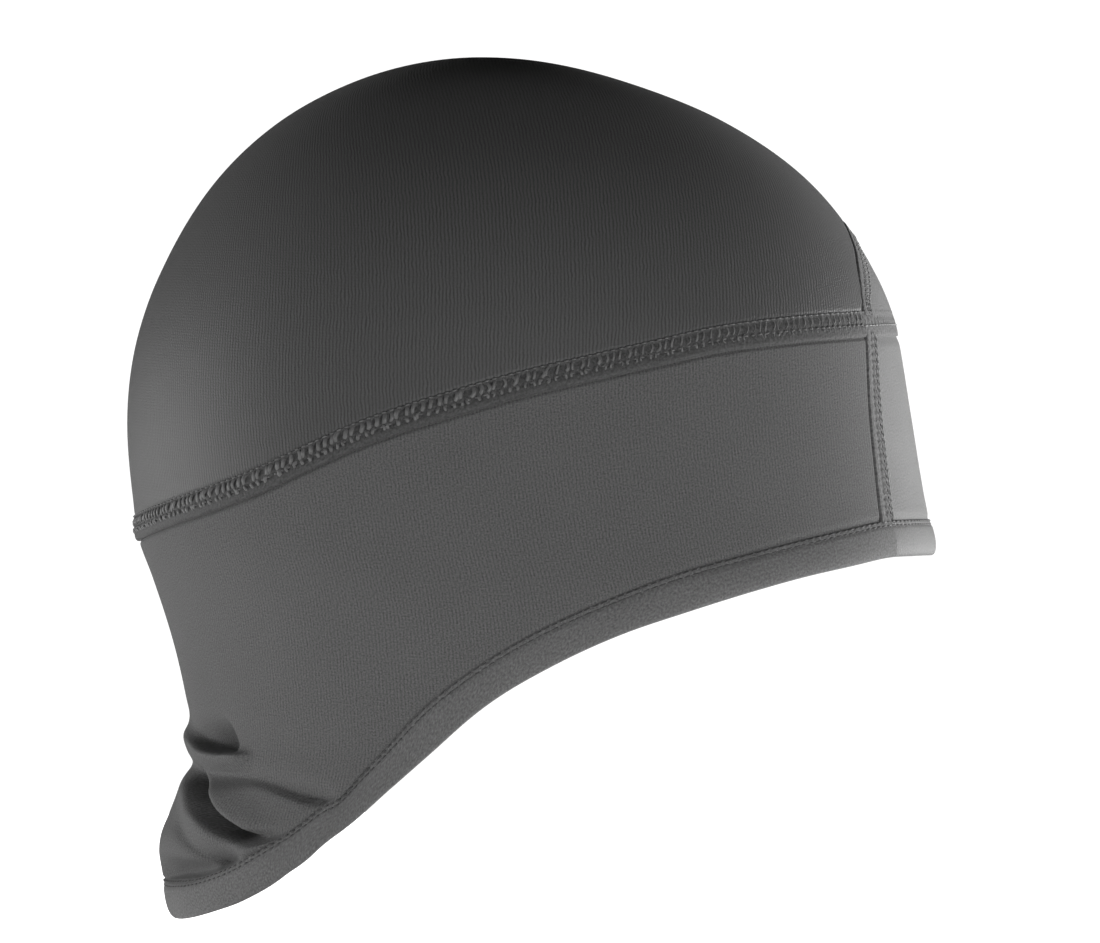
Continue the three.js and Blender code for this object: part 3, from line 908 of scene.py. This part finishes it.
# %% [markdown]
# ## The strip between crown and band
#
# This is the seam that gives the cap its line: the band's edge folded over the crown's and sewn
# down with a wide cover stitch. A row of small stitches runs along its upper edge. Below it lie
# two tiers of raised threads, rungs over beads, and the lowest part is a plain rounded fold that
# casts a thin shadow on the band. At the back of the head the threads are plump. Towards the
# forehead they are drawn tight and the strip is pressed flatter, so mostly its rows of stitches
# show. The raised threads could be a bump, but their shadows are what the eye sees from the side.

# %% Strip round the cap
STITCH = 2.0
COLUMNS_PER_STITCH = 5
EIGHTHS_OF_A_DEGREE = 360 * 8 + 1
# Height of the strip's face over the cloth, from its upper edge (0) to its lower edge (1)
STRIP_FACE = columns_of("share lift", [
    (0, -0.2), (0.02, 0.12), (0.05, 0.3), (0.09, 0.2), (0.13, -0.05), (0.18, 0.02), (0.26, 0.2),
    (0.36, 0.38), (0.46, 0.5), (0.53, 0.44), (0.6, 0.56), (0.7, 0.74), (0.8, 0.8), (0.88, 0.74),
    (0.94, 0.56), (0.975, 0.3), (0.993, -0.05), (1, -0.5),
])
# How much of that height is left over the forehead, and the angles between which it grows
FOREHEAD_PRESS, PRESS_FROM, PRESS_TO = 0.15, 24, 110
# The forehead's parts of the strip and of the hem are of the cloth painted lighter for the light on
# the forehead
FOREHEAD_PART, FOREHEAD_HEM = 25.6, 27.5
STRIP_SHARES = np.array([
    0, 0.015, 0.035, 0.06, 0.09, 0.12, 0.15, 0.2, 0.26, 0.32, 0.38, 0.44, 0.5, 0.55, 0.6, 0.66,
    0.73, 0.8, 0.86, 0.91, 0.945, 0.97, 0.985, 0.995, 1,
])
STRIP_BACK, STRIP_BACK_POINTS = -1.75, 7
# How deep the stitches pull the strip in: between the needle holes' two rows, at the holes
# themselves, and at the lower edge
LADDER_PULL, HOLE_PULL, EDGE_PULL = 0.08, 0.14, 0.14
strip_profile = curve_through(STRIP_FACE["share"], STRIP_FACE["lift"])


def standing(angle):
    """How far the strip stands out at an angle, from pressed (0) to full (1)."""
    return eased(np.abs(angle), PRESS_FROM, PRESS_TO)


def strip_face(angle, share):
    lift = strip_profile(share)
    left = FOREHEAD_PRESS + (1 - FOREHEAD_PRESS) * standing(angle)
    return np.where(lift > 0, lift * left, lift)


def even_angles(height_at, start, end, pitch, per_stitch):
    """Angles at equal steps along a line round the cap, with whole stitches between its ends."""
    fine = np.linspace(start, end, EIGHTHS_OF_A_DEGREE)
    steps = np.linalg.norm(np.diff(on_cap(fine, height_at(fine)), axis=0), axis=-1) / MM
    run = np.concatenate([[0], np.cumsum(steps)])
    marks = np.linspace(0, run[-1], round(run[-1] / pitch) * per_stitch + 1)
    return np.interp(marks, run, fine), marks


def stitch_pull(phase, share):
    """How far the stitches pull the strip in; phase 0 is at a needle hole."""
    needle = np.cos(np.pi * phase) ** 2
    ladder = -LADDER_PULL * needle * eased(share, 0.02, 0.1) * (1 - eased(share, 0.52, 0.62))
    holes = hump(share - 0.09, 0.05, 0.05) + hump(share - 0.52, 0.06, 0.06)
    edge = EDGE_PULL * needle * eased(share, 0.9, 0.99)
    return ladder - HOLE_PULL * needle ** 3 * holes - edge


def strip_height(angle, share):
    return seam_top(angle) + (seam_line(angle) - seam_top(angle)) * share


ring_angles, ring_marks = even_angles(lambda a: strip_height(a, 0.5), -180, 180, STITCH,
                                      COLUMNS_PER_STITCH)
ring_phase = np.arange(len(ring_angles)) / COLUMNS_PER_STITCH
angle, share = np.broadcast_arrays(ring_angles[:-1, None], STRIP_SHARES[None])
height = strip_height(angle, share)
face = on_cap(angle, height, strip_face(angle, share) + stitch_pull(ring_phase[:-1, None], share))
back_shares = np.linspace(1, 0, STRIP_BACK_POINTS)[None]
back = on_cap(ring_angles[:-1, None], strip_height(ring_angles[:-1, None], back_shares),
              np.full_like(back_shares, STRIP_BACK))
loop_shares = np.concatenate([STRIP_SHARES, back_shares[0]])
places = np.stack(np.broadcast_arrays(ring_marks[:, None], -SEAM_WIDTH * loop_shares[None]), -1)
cover_strip = sweep_cloth(
    "crown_band_strip", np.concatenate([face, back], 1), places, len(STRIP_SHARES),
    [seam_knit, fleece_back, lit_forehead_seam_knit], ring=True,
    third=np.abs(ring_angles[:-1]) < FOREHEAD_PART,
)

# %% Stitches of the strip
def on_strip(angle, share, lift=0.0):
    share = np.full_like(angle, share)
    return on_cap(angle, strip_height(angle, share), strip_face(angle, share) + lift)


def strip_out(angle, share):
    return form_normal(angle, depth_of(strip_height(angle, share)))


needles = ring_angles[:-1:COLUMNS_PER_STITCH]
step = np.diff(ring_angles[::COLUMNS_PER_STITCH])
beside_forehead = np.abs(needles) > FOREHEAD_PART
PLACE_SPREAD, THICKNESS_SPREAD, CURVE_SPREAD = 0.04, 0.03, 0.4


def strip_row(word, share, start, end, thickness, bow, keep=beside_forehead, thread=seam_thread):
    """A row of stitches along the strip; start and end are shares of a stitch."""
    first, last = (scattered((needles + part * step)[keep], PLACE_SPREAD)
                   for part in (start, end))
    thickness = scattered(np.full_like(first, thickness), THICKNESS_SPREAD)
    return sew(f"strip_{word}_stitches", on_strip(first, share), on_strip(last, share),
               strip_out(first, share), thickness, bow, thread=thread)


def strip_tier(name, upper, lower, shares, thickness, spread, bow, curve, flat):
    """Raised threads from the first to the last of three shares; out is taken at the second.

    thickness and bow are given for a tight thread, with what a plump one has more.
    """
    start, middle, end = shares
    thickness = scattered(thickness[0] + thickness[1] * plump, spread)
    curve = scattered(np.full_like(top, curve), CURVE_SPREAD)
    return sew(name, on_strip(upper, start), on_strip(lower, end), strip_out(top, middle),
               thickness, bow[0] + bow[1] * plump, curve=curve, flat=flat)


strip_rows = [
    strip_row("upper", share=0.035, start=0.25, end=0.8, thickness=0.42, bow=0.08),
    strip_row("middle", share=0.54, start=0.6, end=1.0, thickness=0.5, bow=0.14),
    strip_row("forehead", share=0.57, start=0.02, end=0.99, thickness=0.34, bow=0.1,
              keep=~beside_forehead, thread=light_thread),
    strip_row("lower", share=1.07, start=0.15, end=0.62, thickness=0.24, bow=0.02),
]
# The raised threads are plump at the back and drawn tight towards the forehead. Each rung ends
# at a knot, where a bead begins.
top = scattered((needles + 0.52 * step)[beside_forehead], 0.1)
knot = top + scattered(0.3 * step[beside_forehead], 0.12)
foot = knot + scattered(-0.1 * step[beside_forehead], 0.2)
plump = standing(top) ** 1.5
strip_tiers = [
    strip_tier("strip_rungs", top, knot, (0.05, 0.3, 0.5), thickness=(0.2, 0.95), spread=0.1,
               bow=(0.1, 0.1), curve=0.25, flat=0.5),
    strip_tier("strip_beads", knot, foot, (0.44, 0.6, 0.72), thickness=(0.16, 0.8), spread=0.12,
               bow=(0.1, 0.12), curve=-0.1, flat=0.6),
]
fit_sheet(cover_strip, "crown_band_seam",
          (ring_marks[-1], SEAM_WIDTH + TURNED_UNDER))

# %% [markdown]
# ## The band over the ears
#
# The band is the largest panel on each side, from the strip beside the forehead to the centre
# back. It hugs the head, dips in under the cover strip, and falls into the folds at the nape.
# Its grid is finest at the nape, where the folds turn sharply.

# %% Band halves
UNDER_STRIP, IN_HEM = 1.8, 3.2
NAPE_FROM = 118
FRONT_EDGE = 28.3
FRONT_EDGE_ROLL, FRONT_EDGE_ROLL_WIDTH = -0.5, 0.35
FRONT_EDGE_LEAN = 60
DEGREE_AT_FRONT = 1.4
# Columns in degrees from the front edge, and rows in millimetres over the hem
FRONT_COLUMNS = np.array([-1, -0.45, -0.1, 0.15, 0.35, 0.6, 0.9, 1.3, 1.8, 2.5, 3.4, 4.5])
OVER_HEM = np.array([4.5, 3.4, 2.6, 2, 1.5, 1, 0.6, 0.3, 0, -0.6, -1.6, -IN_HEM])
# The cloth dips in where it goes under the cover strip and under the hem
SEAM_DITCH, HEM_DITCH = -0.45, -0.35
BAND_DITCH_WIDTHS = 0.45, 0.6
SIDE_COLUMNS, NAPE_COLUMNS = 50, 118
# The rows are closer beyond this share of the way down, where the folds are
UPPER_ROWS, LOWER_ROWS, LOWER_FROM = 30, 128, 0.4


def band_half(word, side):
    nominal = np.concatenate([
        FRONT_EDGE + FRONT_COLUMNS,
        np.linspace(FRONT_EDGE + 6, NAPE_FROM, SIDE_COLUMNS, endpoint=False),
        np.linspace(NAPE_FROM, CENTRE_BACK - 5.3, NAPE_COLUMNS),
        CENTRE_BACK - NEAR_CENTRE[::-1],
    ])
    top = seam_line(nominal)[:, None]
    bottom = hem_line(nominal)[:, None]
    between = np.concatenate([np.linspace(0, LOWER_FROM, UPPER_ROWS)[1:],
                              np.linspace(LOWER_FROM, 1, LOWER_ROWS)[1:-1]])
    start, end = top - NEAR_EDGE[0], bottom + OVER_HEM[0]
    height = np.hstack([top - NEAR_EDGE[::-1], start + (end - start) * between,
                        bottom + OVER_HEM])
    angle = nominal[:, None] + np.zeros_like(height)
    # The front edge leans with the forehead seam, and that lean fades out towards the ear
    lean = forehead_seam(height) - FRONT_EDGE
    angle = angle + lean * (1 - eased(angle, FRONT_EDGE, FRONT_EDGE + FRONT_EDGE_LEAN))
    from_edge = (angle - forehead_seam(height)) * DEGREE_AT_FRONT
    lift = SEAM_DITCH * hump(top - height, BAND_DITCH_WIDTHS[0], FAR)
    lift = lift + HEM_DITCH * hump(height - bottom, BAND_DITCH_WIDTHS[1], FAR)
    lift = lift + FRONT_EDGE_ROLL * hump(from_edge, FRONT_EDGE_ROLL_WIDTH, FAR)
    lift = lift + centre_groove(angle, height)
    if side < 0:
        angle, height, lift = -angle[::-1], height[::-1], lift[::-1]
    return add_panel(f"band_cloth_{word}", brushed_knit, angle, height, lift, 90 * side)


for word, side in SIDES.items():
    piece, size = band_half(word, side)
    fit_sheet(piece, f"band_{word}", size)

# %% [markdown]
# ## The forehead
#
# At the front the cap has an arched insert above the cover strip and a panel below it, each
# edged with a narrow strip. The seam line is a ditch at the outer edge of that strip. The
# allowances are pressed towards the forehead and sewn down with two rows of stitches, so the
# strip stands a little proud and its needle holes read as two dotted lines.

# %% Insert and forehead panel
ACROSS = np.linspace(-1, 1, 45)[:, None]
INSERT_ROWS, FOREHEAD_ROWS = 26, 56
# The insert goes a little past the arch's foot, and this far under its strip
PAST_FOOT, UNDER_ARCH_ANGLE, UNDER_ARCH = 1.02, 0.6, 1.2
UNDER_SIDE_STRIP_ANGLE = 0.7
FOREHEAD_DITCH_WIDTHS = 1.3, 1.0


def insert_panel():
    turned = np.abs(ACROSS) * PAST_FOOT
    # Right at the centre the margin under the strip fades out, so that the columns don't cross
    angle = arch["inner_angle"](turned) + UNDER_ARCH_ANGLE
    angle = angle * np.sign(ACROSS) * np.minimum(1, 8 * np.abs(ACROSS))
    top = arch["inner_height"](turned) + UNDER_ARCH
    bottom = seam_top(angle) - UNDER_STRIP
    height = top + (bottom - top) * np.linspace(0, 1, INSERT_ROWS)[None]
    return add_panel("insert_cloth", lit_forehead_knit, angle, height, np.zeros_like(height), 0)


def forehead_panel():
    share = np.linspace(0, 1, FOREHEAD_ROWS)[None]
    top = seam_line(0.0) + UNDER_STRIP
    bottom = hem_line(0.0) - IN_HEM
    height = top + (bottom - top) * share
    angle = (forehead_seam(height) - STRIP_ANGLE + UNDER_SIDE_STRIP_ANGLE) * ACROSS
    height = height + (seam_line(angle) - seam_line(0.0)) * (1 - share)
    height = height + (hem_line(angle) - hem_line(0.0)) * share
    lift = SEAM_DITCH * hump(seam_line(angle) - height, FOREHEAD_DITCH_WIDTHS[0], FAR)
    lift = lift + HEM_DITCH * hump(height - hem_line(angle), FOREHEAD_DITCH_WIDTHS[1], FAR)
    return add_panel("forehead_cloth", lit_forehead_knit, angle, height, lift, 0)


piece, size = insert_panel()
fit_sheet(piece, "crown_front", size)
piece, size = forehead_panel()
fit_sheet(piece, "band_front", size)

# %% Narrow strips and their stitches
NARROW_STITCH = 1.8
NARROW_FACE = columns_of("share lift", [
    (0, -0.45), (0.02, -0.05), (0.05, 0.12), (0.12, 0.16), (0.3, 0.16), (0.42, 0.1), (0.55, 0.22),
    (0.68, 0.2), (0.8, 0), (0.9, 0.08), (0.96, 0.04), (1, -0.3),
])
NARROW_SHARES = np.array([0, 0.02, 0.05, 0.09, 0.14, 0.2, 0.26, 0.33, 0.4, 0.5, 0.6, 0.68, 0.75,
                          0.81, 0.87, 0.92, 0.96, 0.985, 1])
NARROW_WIDTH = 6
NARROW_BACK = -1.7
# For each row of needle holes: its share of the width, and how deep it is drawn in
HOLE_ROWS = ((0.42, 0.22), (0.8, 0.6))
HOLE_WIDTH = 0.06
# Each row of threads runs slanted from one share of the width to another. The light row lies
# along the strip's inner edge.
THREAD_ROWS = ((0.42, 0.5, seam_thread), (0.56, 0.78, seam_thread), (0.95, 0.95, light_thread))
THREAD_START, THREAD_END, THREAD_SPREAD = 0.2, 0.85, 0.05
narrow_face = curve_through(NARROW_FACE["share"], NARROW_FACE["lift"])


def narrow_strip(name, run_of, length):
    """A strip along run_of(along, share) -> angle, height, with along from 0 to 1."""
    stitches = round(length / NARROW_STITCH)
    steps = np.linspace(0, 1, stitches * COLUMNS_PER_STITCH + 1)[:, None]
    phase = steps * stitches
    angle, height = run_of(steps, NARROW_SHARES[None])
    needle = np.cos(np.pi * phase) ** 2
    holes = sum(drawn * hump(NARROW_SHARES[None] - row, HOLE_WIDTH, HOLE_WIDTH)
                for row, drawn in HOLE_ROWS)
    lift = narrow_face(NARROW_SHARES[None]) - needle ** 2 * holes
    inner = on_cap(*run_of(steps, NARROW_SHARES[::-1][None]), np.full_like(lift, NARROW_BACK))
    sections = np.concatenate([on_cap(angle, height, lift), inner], 1)
    shares = np.concatenate([NARROW_SHARES, NARROW_SHARES[::-1]])
    places = np.stack(np.broadcast_arrays(NARROW_WIDTH * shares[None], -length * steps), -1)
    piece = sweep_cloth(name, sections, places, len(NARROW_SHARES),
                        [lit_forehead_seam_knit, fleece_back])
    marks = np.arange(stitches) / stitches
    rows = []
    for number, (first, last, thread) in enumerate(THREAD_ROWS):
        begun = scattered(marks + THREAD_START / stitches, THREAD_SPREAD / stitches)
        start = run_of(begun, np.full_like(marks, first))
        end = run_of(marks + THREAD_END / stitches, np.full_like(marks, last))
        out = form_normal(start[0], depth_of(start[1]))
        lifted = narrow_face(np.full_like(marks, first))
        rows.append(sew(f"{name}_stitches_{number + 1}", on_cap(*start, lifted),
                        on_cap(*end, lifted), out, thickness=0.28, bow=0.05, thread=thread))
    return piece, rows


STRIP_PAST_FOOT = 1.06
SIDE_STRIP_TOP, SIDE_STRIP_FOOT = 25.9, 30.7


def arch_run(along, share):
    """along 0 is the arch's foot on the wearer's right, and 1 its foot on the left."""
    across = (1 - 2 * along) * STRIP_PAST_FOOT
    turned = np.abs(across)
    outer = arch["outer_angle"](turned), arch["outer_height"](turned)
    inner = arch["inner_angle"](turned), arch["inner_height"](turned)
    angle = (outer[0] + (inner[0] - outer[0]) * share) * np.sign(across)
    return angle, outer[1] + (inner[1] - outer[1]) * share


def side_run(side):
    """The strip beside the forehead panel, from the cover strip down to the hem."""
    top, bottom = seam_line(SIDE_STRIP_TOP) + UNDER_STRIP, hem_line(SIDE_STRIP_FOOT) - IN_HEM

    def run(along, share):
        height = top + (bottom - top) * along
        angle = forehead_seam(height) - STRIP_ANGLE * share
        return angle * side, height + 0 * share

    return run, float(top - bottom)


arch_line = on_cap(*arch_run(np.linspace(0, 1, 200), np.full(200, 0.5)))
arch_length = np.linalg.norm(np.diff(arch_line, axis=0), axis=-1).sum() / MM
piece, rows = narrow_strip("arch_strip", arch_run, arch_length)
cut_width = NARROW_WIDTH + TURNED_UNDER
fit_sheet(piece, "crown_front_seam", (cut_width, arch_length))
for word, side in SIDES.items():
    run, length = side_run(side)
    piece, rows = narrow_strip(f"forehead_strip_{word}", run, length)
    fit_sheet(piece, f"band_front_seam_{word}", (cut_width, length),
              upright=True)

# %% [markdown]
# ## The hem
#
# The edge of the cap is bound: a strip of cloth folded round it, double all the way, with two
# rows of stitches near its upper edge. A folded hem is softer and thicker than the band, and its
# rim is a round fold, not a cut edge. Its section is a U with the band's edge inside.

# %% Folded hem
HEM_STITCH = 2.2
HEM_COLUMNS_PER_STITCH = 4
# Section: share of the way from the hem's upper edge to the rim, and lift, once round the U
HEM_SECTION = columns_of("share lift", [
    (0, -0.3), (0.015, 0), (0.04, 0.12), (0.07, 0.12), (0.1, 0.2), (0.14, 0.14), (0.18, 0.28),
    (0.22, 0.46), (0.28, 0.54), (0.35, 0.6), (0.43, 0.65), (0.52, 0.67), (0.62, 0.65), (0.71, 0.59),
    (0.8, 0.46), (0.88, 0.23), (0.94, -0.04), (0.98, -0.38), (1, -0.85),
    (0.98, -1.35), (0.94, -1.7), (0.85, -2), (0.7, -2.15), (0.4, -2.2), (0.05, -2.1), (0, -1.9),
    (0.02, -1.6), (0.3, -1.5), (0.6, -1.2), (0.75, -0.85), (0.6, -0.5), (0.3, -0.3), (0.02, -0.35),
])
HEM_OUTSIDE = 26
RIM_POINT = int(HEM_SECTION["share"].argmax())
HEM_WIDTH = 9.6
HEM_ROWS = (0.04, 0.14)
HEM_STITCH_PARTS, HEM_STITCH_SPREAD = (0.1, 0.8), 0.05
HEM_PULL, HEM_PULL_WIDTH = 0.25, 0.03


def hem_height(angle, share):
    return hem_line(angle) + (rim_line(angle) - hem_line(angle)) * share


hem_angles, hem_marks = even_angles(lambda a: hem_height(a, 0.3), -180, 180, HEM_STITCH,
                                    HEM_COLUMNS_PER_STITCH)
hem_phase = np.arange(len(hem_angles))[:-1, None] / HEM_COLUMNS_PER_STITCH
shares = HEM_SECTION["share"][None]
needle = np.cos(np.pi * hem_phase) ** 2
outer_part = np.arange(shares.size) < HEM_OUTSIDE
rows_pull = sum(hump(shares - row, HEM_PULL_WIDTH, HEM_PULL_WIDTH) for row in HEM_ROWS)
lift = HEM_SECTION["lift"][None] - HEM_PULL * needle * rows_pull * outer_part
sections = on_cap(hem_angles[:-1, None] + 0 * shares,
                  hem_height(hem_angles[:-1, None], shares), lift)
section_steps = np.hypot(np.diff(HEM_SECTION["share"]) * HEM_WIDTH, np.diff(HEM_SECTION["lift"]))
section_run = np.concatenate([[0], np.cumsum(section_steps)])
places = np.stack(np.broadcast_arrays(hem_marks[:, None], -section_run[None]), -1)
hem = sweep_cloth("folded_hem", sections, places, HEM_OUTSIDE,
                  [hem_knit, fleece_back, lit_forehead_knit], ring=True,
                  third=np.abs(hem_angles[:-1]) < FOREHEAD_HEM)

hem_needles = hem_angles[:-1:HEM_COLUMNS_PER_STITCH]
hem_step = np.diff(hem_angles[::HEM_COLUMNS_PER_STITCH])
hem_face = curve_through(*(HEM_SECTION[key][:RIM_POINT + 1] for key in ("share", "lift")))
for number, row in enumerate(HEM_ROWS):
    start, end = (scattered(hem_needles + part * hem_step, HEM_STITCH_SPREAD)
                  for part in HEM_STITCH_PARTS)
    spot = np.full_like(start, row)
    out = form_normal(start, depth_of(hem_height(start, spot)))
    sew(f"hem_stitches_{number + 1}",
                           on_cap(start, hem_height(start, spot), hem_face(spot)),
                           on_cap(end, hem_height(end, spot), hem_face(spot)),
                           out, thickness=0.36, bow=0.04, thread=hole_shade_hem_thread)
fit_sheet(hem, "hem", (hem_marks[-1], section_run[-1] / 2))

# %% [markdown]
# ## Floor and light
#
# The cap is shown held up over a white table, with one large soft light far round at the front,
# a weaker and broader one behind the head, and a narrow fill from low on the camera's side. The
# top of the crown gets little light, and falls away into a deep grey. Far out the table is lit
# from inside, like a studio's light table. A table that glowed under the cap too would light its
# folds from below, so close by only the camera sees the glow, and the ground stays white in
# every view. The lamps themselves are hidden from the camera.

# %% Stage
FLOOR_HEIGHT = -0.62
FLOOR_HALF = 6
# The table starts to glow this far from its middle, and glows fully here
GLOW_FROM, GLOW_FULL = 1.2, 2.2
# The camera sees this much more of a glow than there is
GLOW_SEEN = 0.9
AMBIENT, BACKDROP = 0.02, 1.1
corners = [(x * FLOOR_HALF, y * FLOOR_HALF, FLOOR_HEIGHT)
           for x, y in ((-1, -1), (1, -1), (1, 1), (-1, 1))]
floor_mesh = bpy.data.meshes.new("studio_table")
floor_mesh.from_pydata(corners, [], [(0, 1, 2, 3)])
floor = add_object("studio_table", floor_mesh)
table_top, tree, shader = new_material("white_laminate")
grain = add_node(tree, "TexNoise", {"Scale": 900})
speck = add_node(tree, "Mix", {0: grain, 6: linear("#f4f4f4"), 7: linear("#fbfbfb")},
                 data_type="RGBA").outputs[2]
place = add_node(tree, "TexCoord").outputs["Object"]
from_middle = add_node(tree, "VectorMath", {0: place, 1: (0, 0, FLOOR_HEIGHT)},
                       operation="DISTANCE").outputs["Value"]
glow = add_node(tree, "MapRange", {
    "Value": from_middle, "From Min": GLOW_FROM, "From Max": GLOW_FULL, "To Max": 1.0,
})
seen = add_node(tree, "LightPath").outputs["Is Camera Ray"]
shown = add_node(tree, "Math", {0: seen, 1: GLOW_SEEN, 2: glow}, operation="MULTIPLY_ADD")
set_inputs(tree, shader, {
    "Base Color": speck, "Roughness": 0.8, "Specular IOR Level": 0.1,
    "Emission Color": linear("#ffffff"), "Emission Strength": shown,
})
floor_mesh.materials.append(table_top)
floor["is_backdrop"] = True

world = bpy.data.worlds.new("studio")
bpy.context.scene.world = world
world.use_nodes = True
tree = world.node_tree
tree.nodes.clear()
seen = add_node(tree, "LightPath").outputs["Is Camera Ray"]
dim, white = (add_node(tree, "Background", {
    "Color": linear("#ffffff"), "Strength": strength,
}) for strength in (AMBIENT, BACKDROP))
mixed = add_node(tree, "MixShader", {0: seen, 1: dim, 2: white})
add_node(tree, "OutputWorld", {0: mixed})

# %% Soft lights
TO_RIGHT = Vector((0, -1, 0))
# turn: degrees round from the camera towards the front of the cap; rise: degrees up
SOFTBOXES = [
    dict(name="front_light", turn=115, rise=-8, distance=1.3, width=0.9, height=0.6, watts=17.5),
    dict(name="back_light", turn=-101, rise=-3, distance=1.3, width=1.1, height=0.6, watts=8),
    dict(name="fill_light", turn=14, rise=-16, distance=1.5, width=1.0, height=0.25, watts=7.6),
]
for box in SOFTBOXES:
    turn, rise = math.radians(box["turn"]), math.radians(box["rise"])
    level = LEVEL_SIDE * math.cos(turn) + TO_RIGHT * math.sin(turn)
    direction = level * math.cos(rise) + Vector((0, 0, math.sin(rise)))
    lamp = bpy.data.lights.new(box["name"], "AREA")
    lamp.shape = "RECTANGLE"
    lamp.size, lamp.size_y, lamp.energy = box["width"], box["height"], box["watts"]
    holder = add_object(box["name"], lamp)
    holder.location = LOOK_AT + direction * box["distance"]
    holder.rotation_euler = direction.to_track_quat("Z", "Y").to_euler()
    holder.visible_camera = False
bpy.context.scene.view_settings.view_transform = "Standard"
print("lights:", [box["name"] for box in SOFTBOXES])

# %% Sizes and the end
boxes = {"cad": cad_box, "visual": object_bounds()}
boxes = {name: [list(corner) for corner in box] for name, box in boxes.items()}
print(boxes)
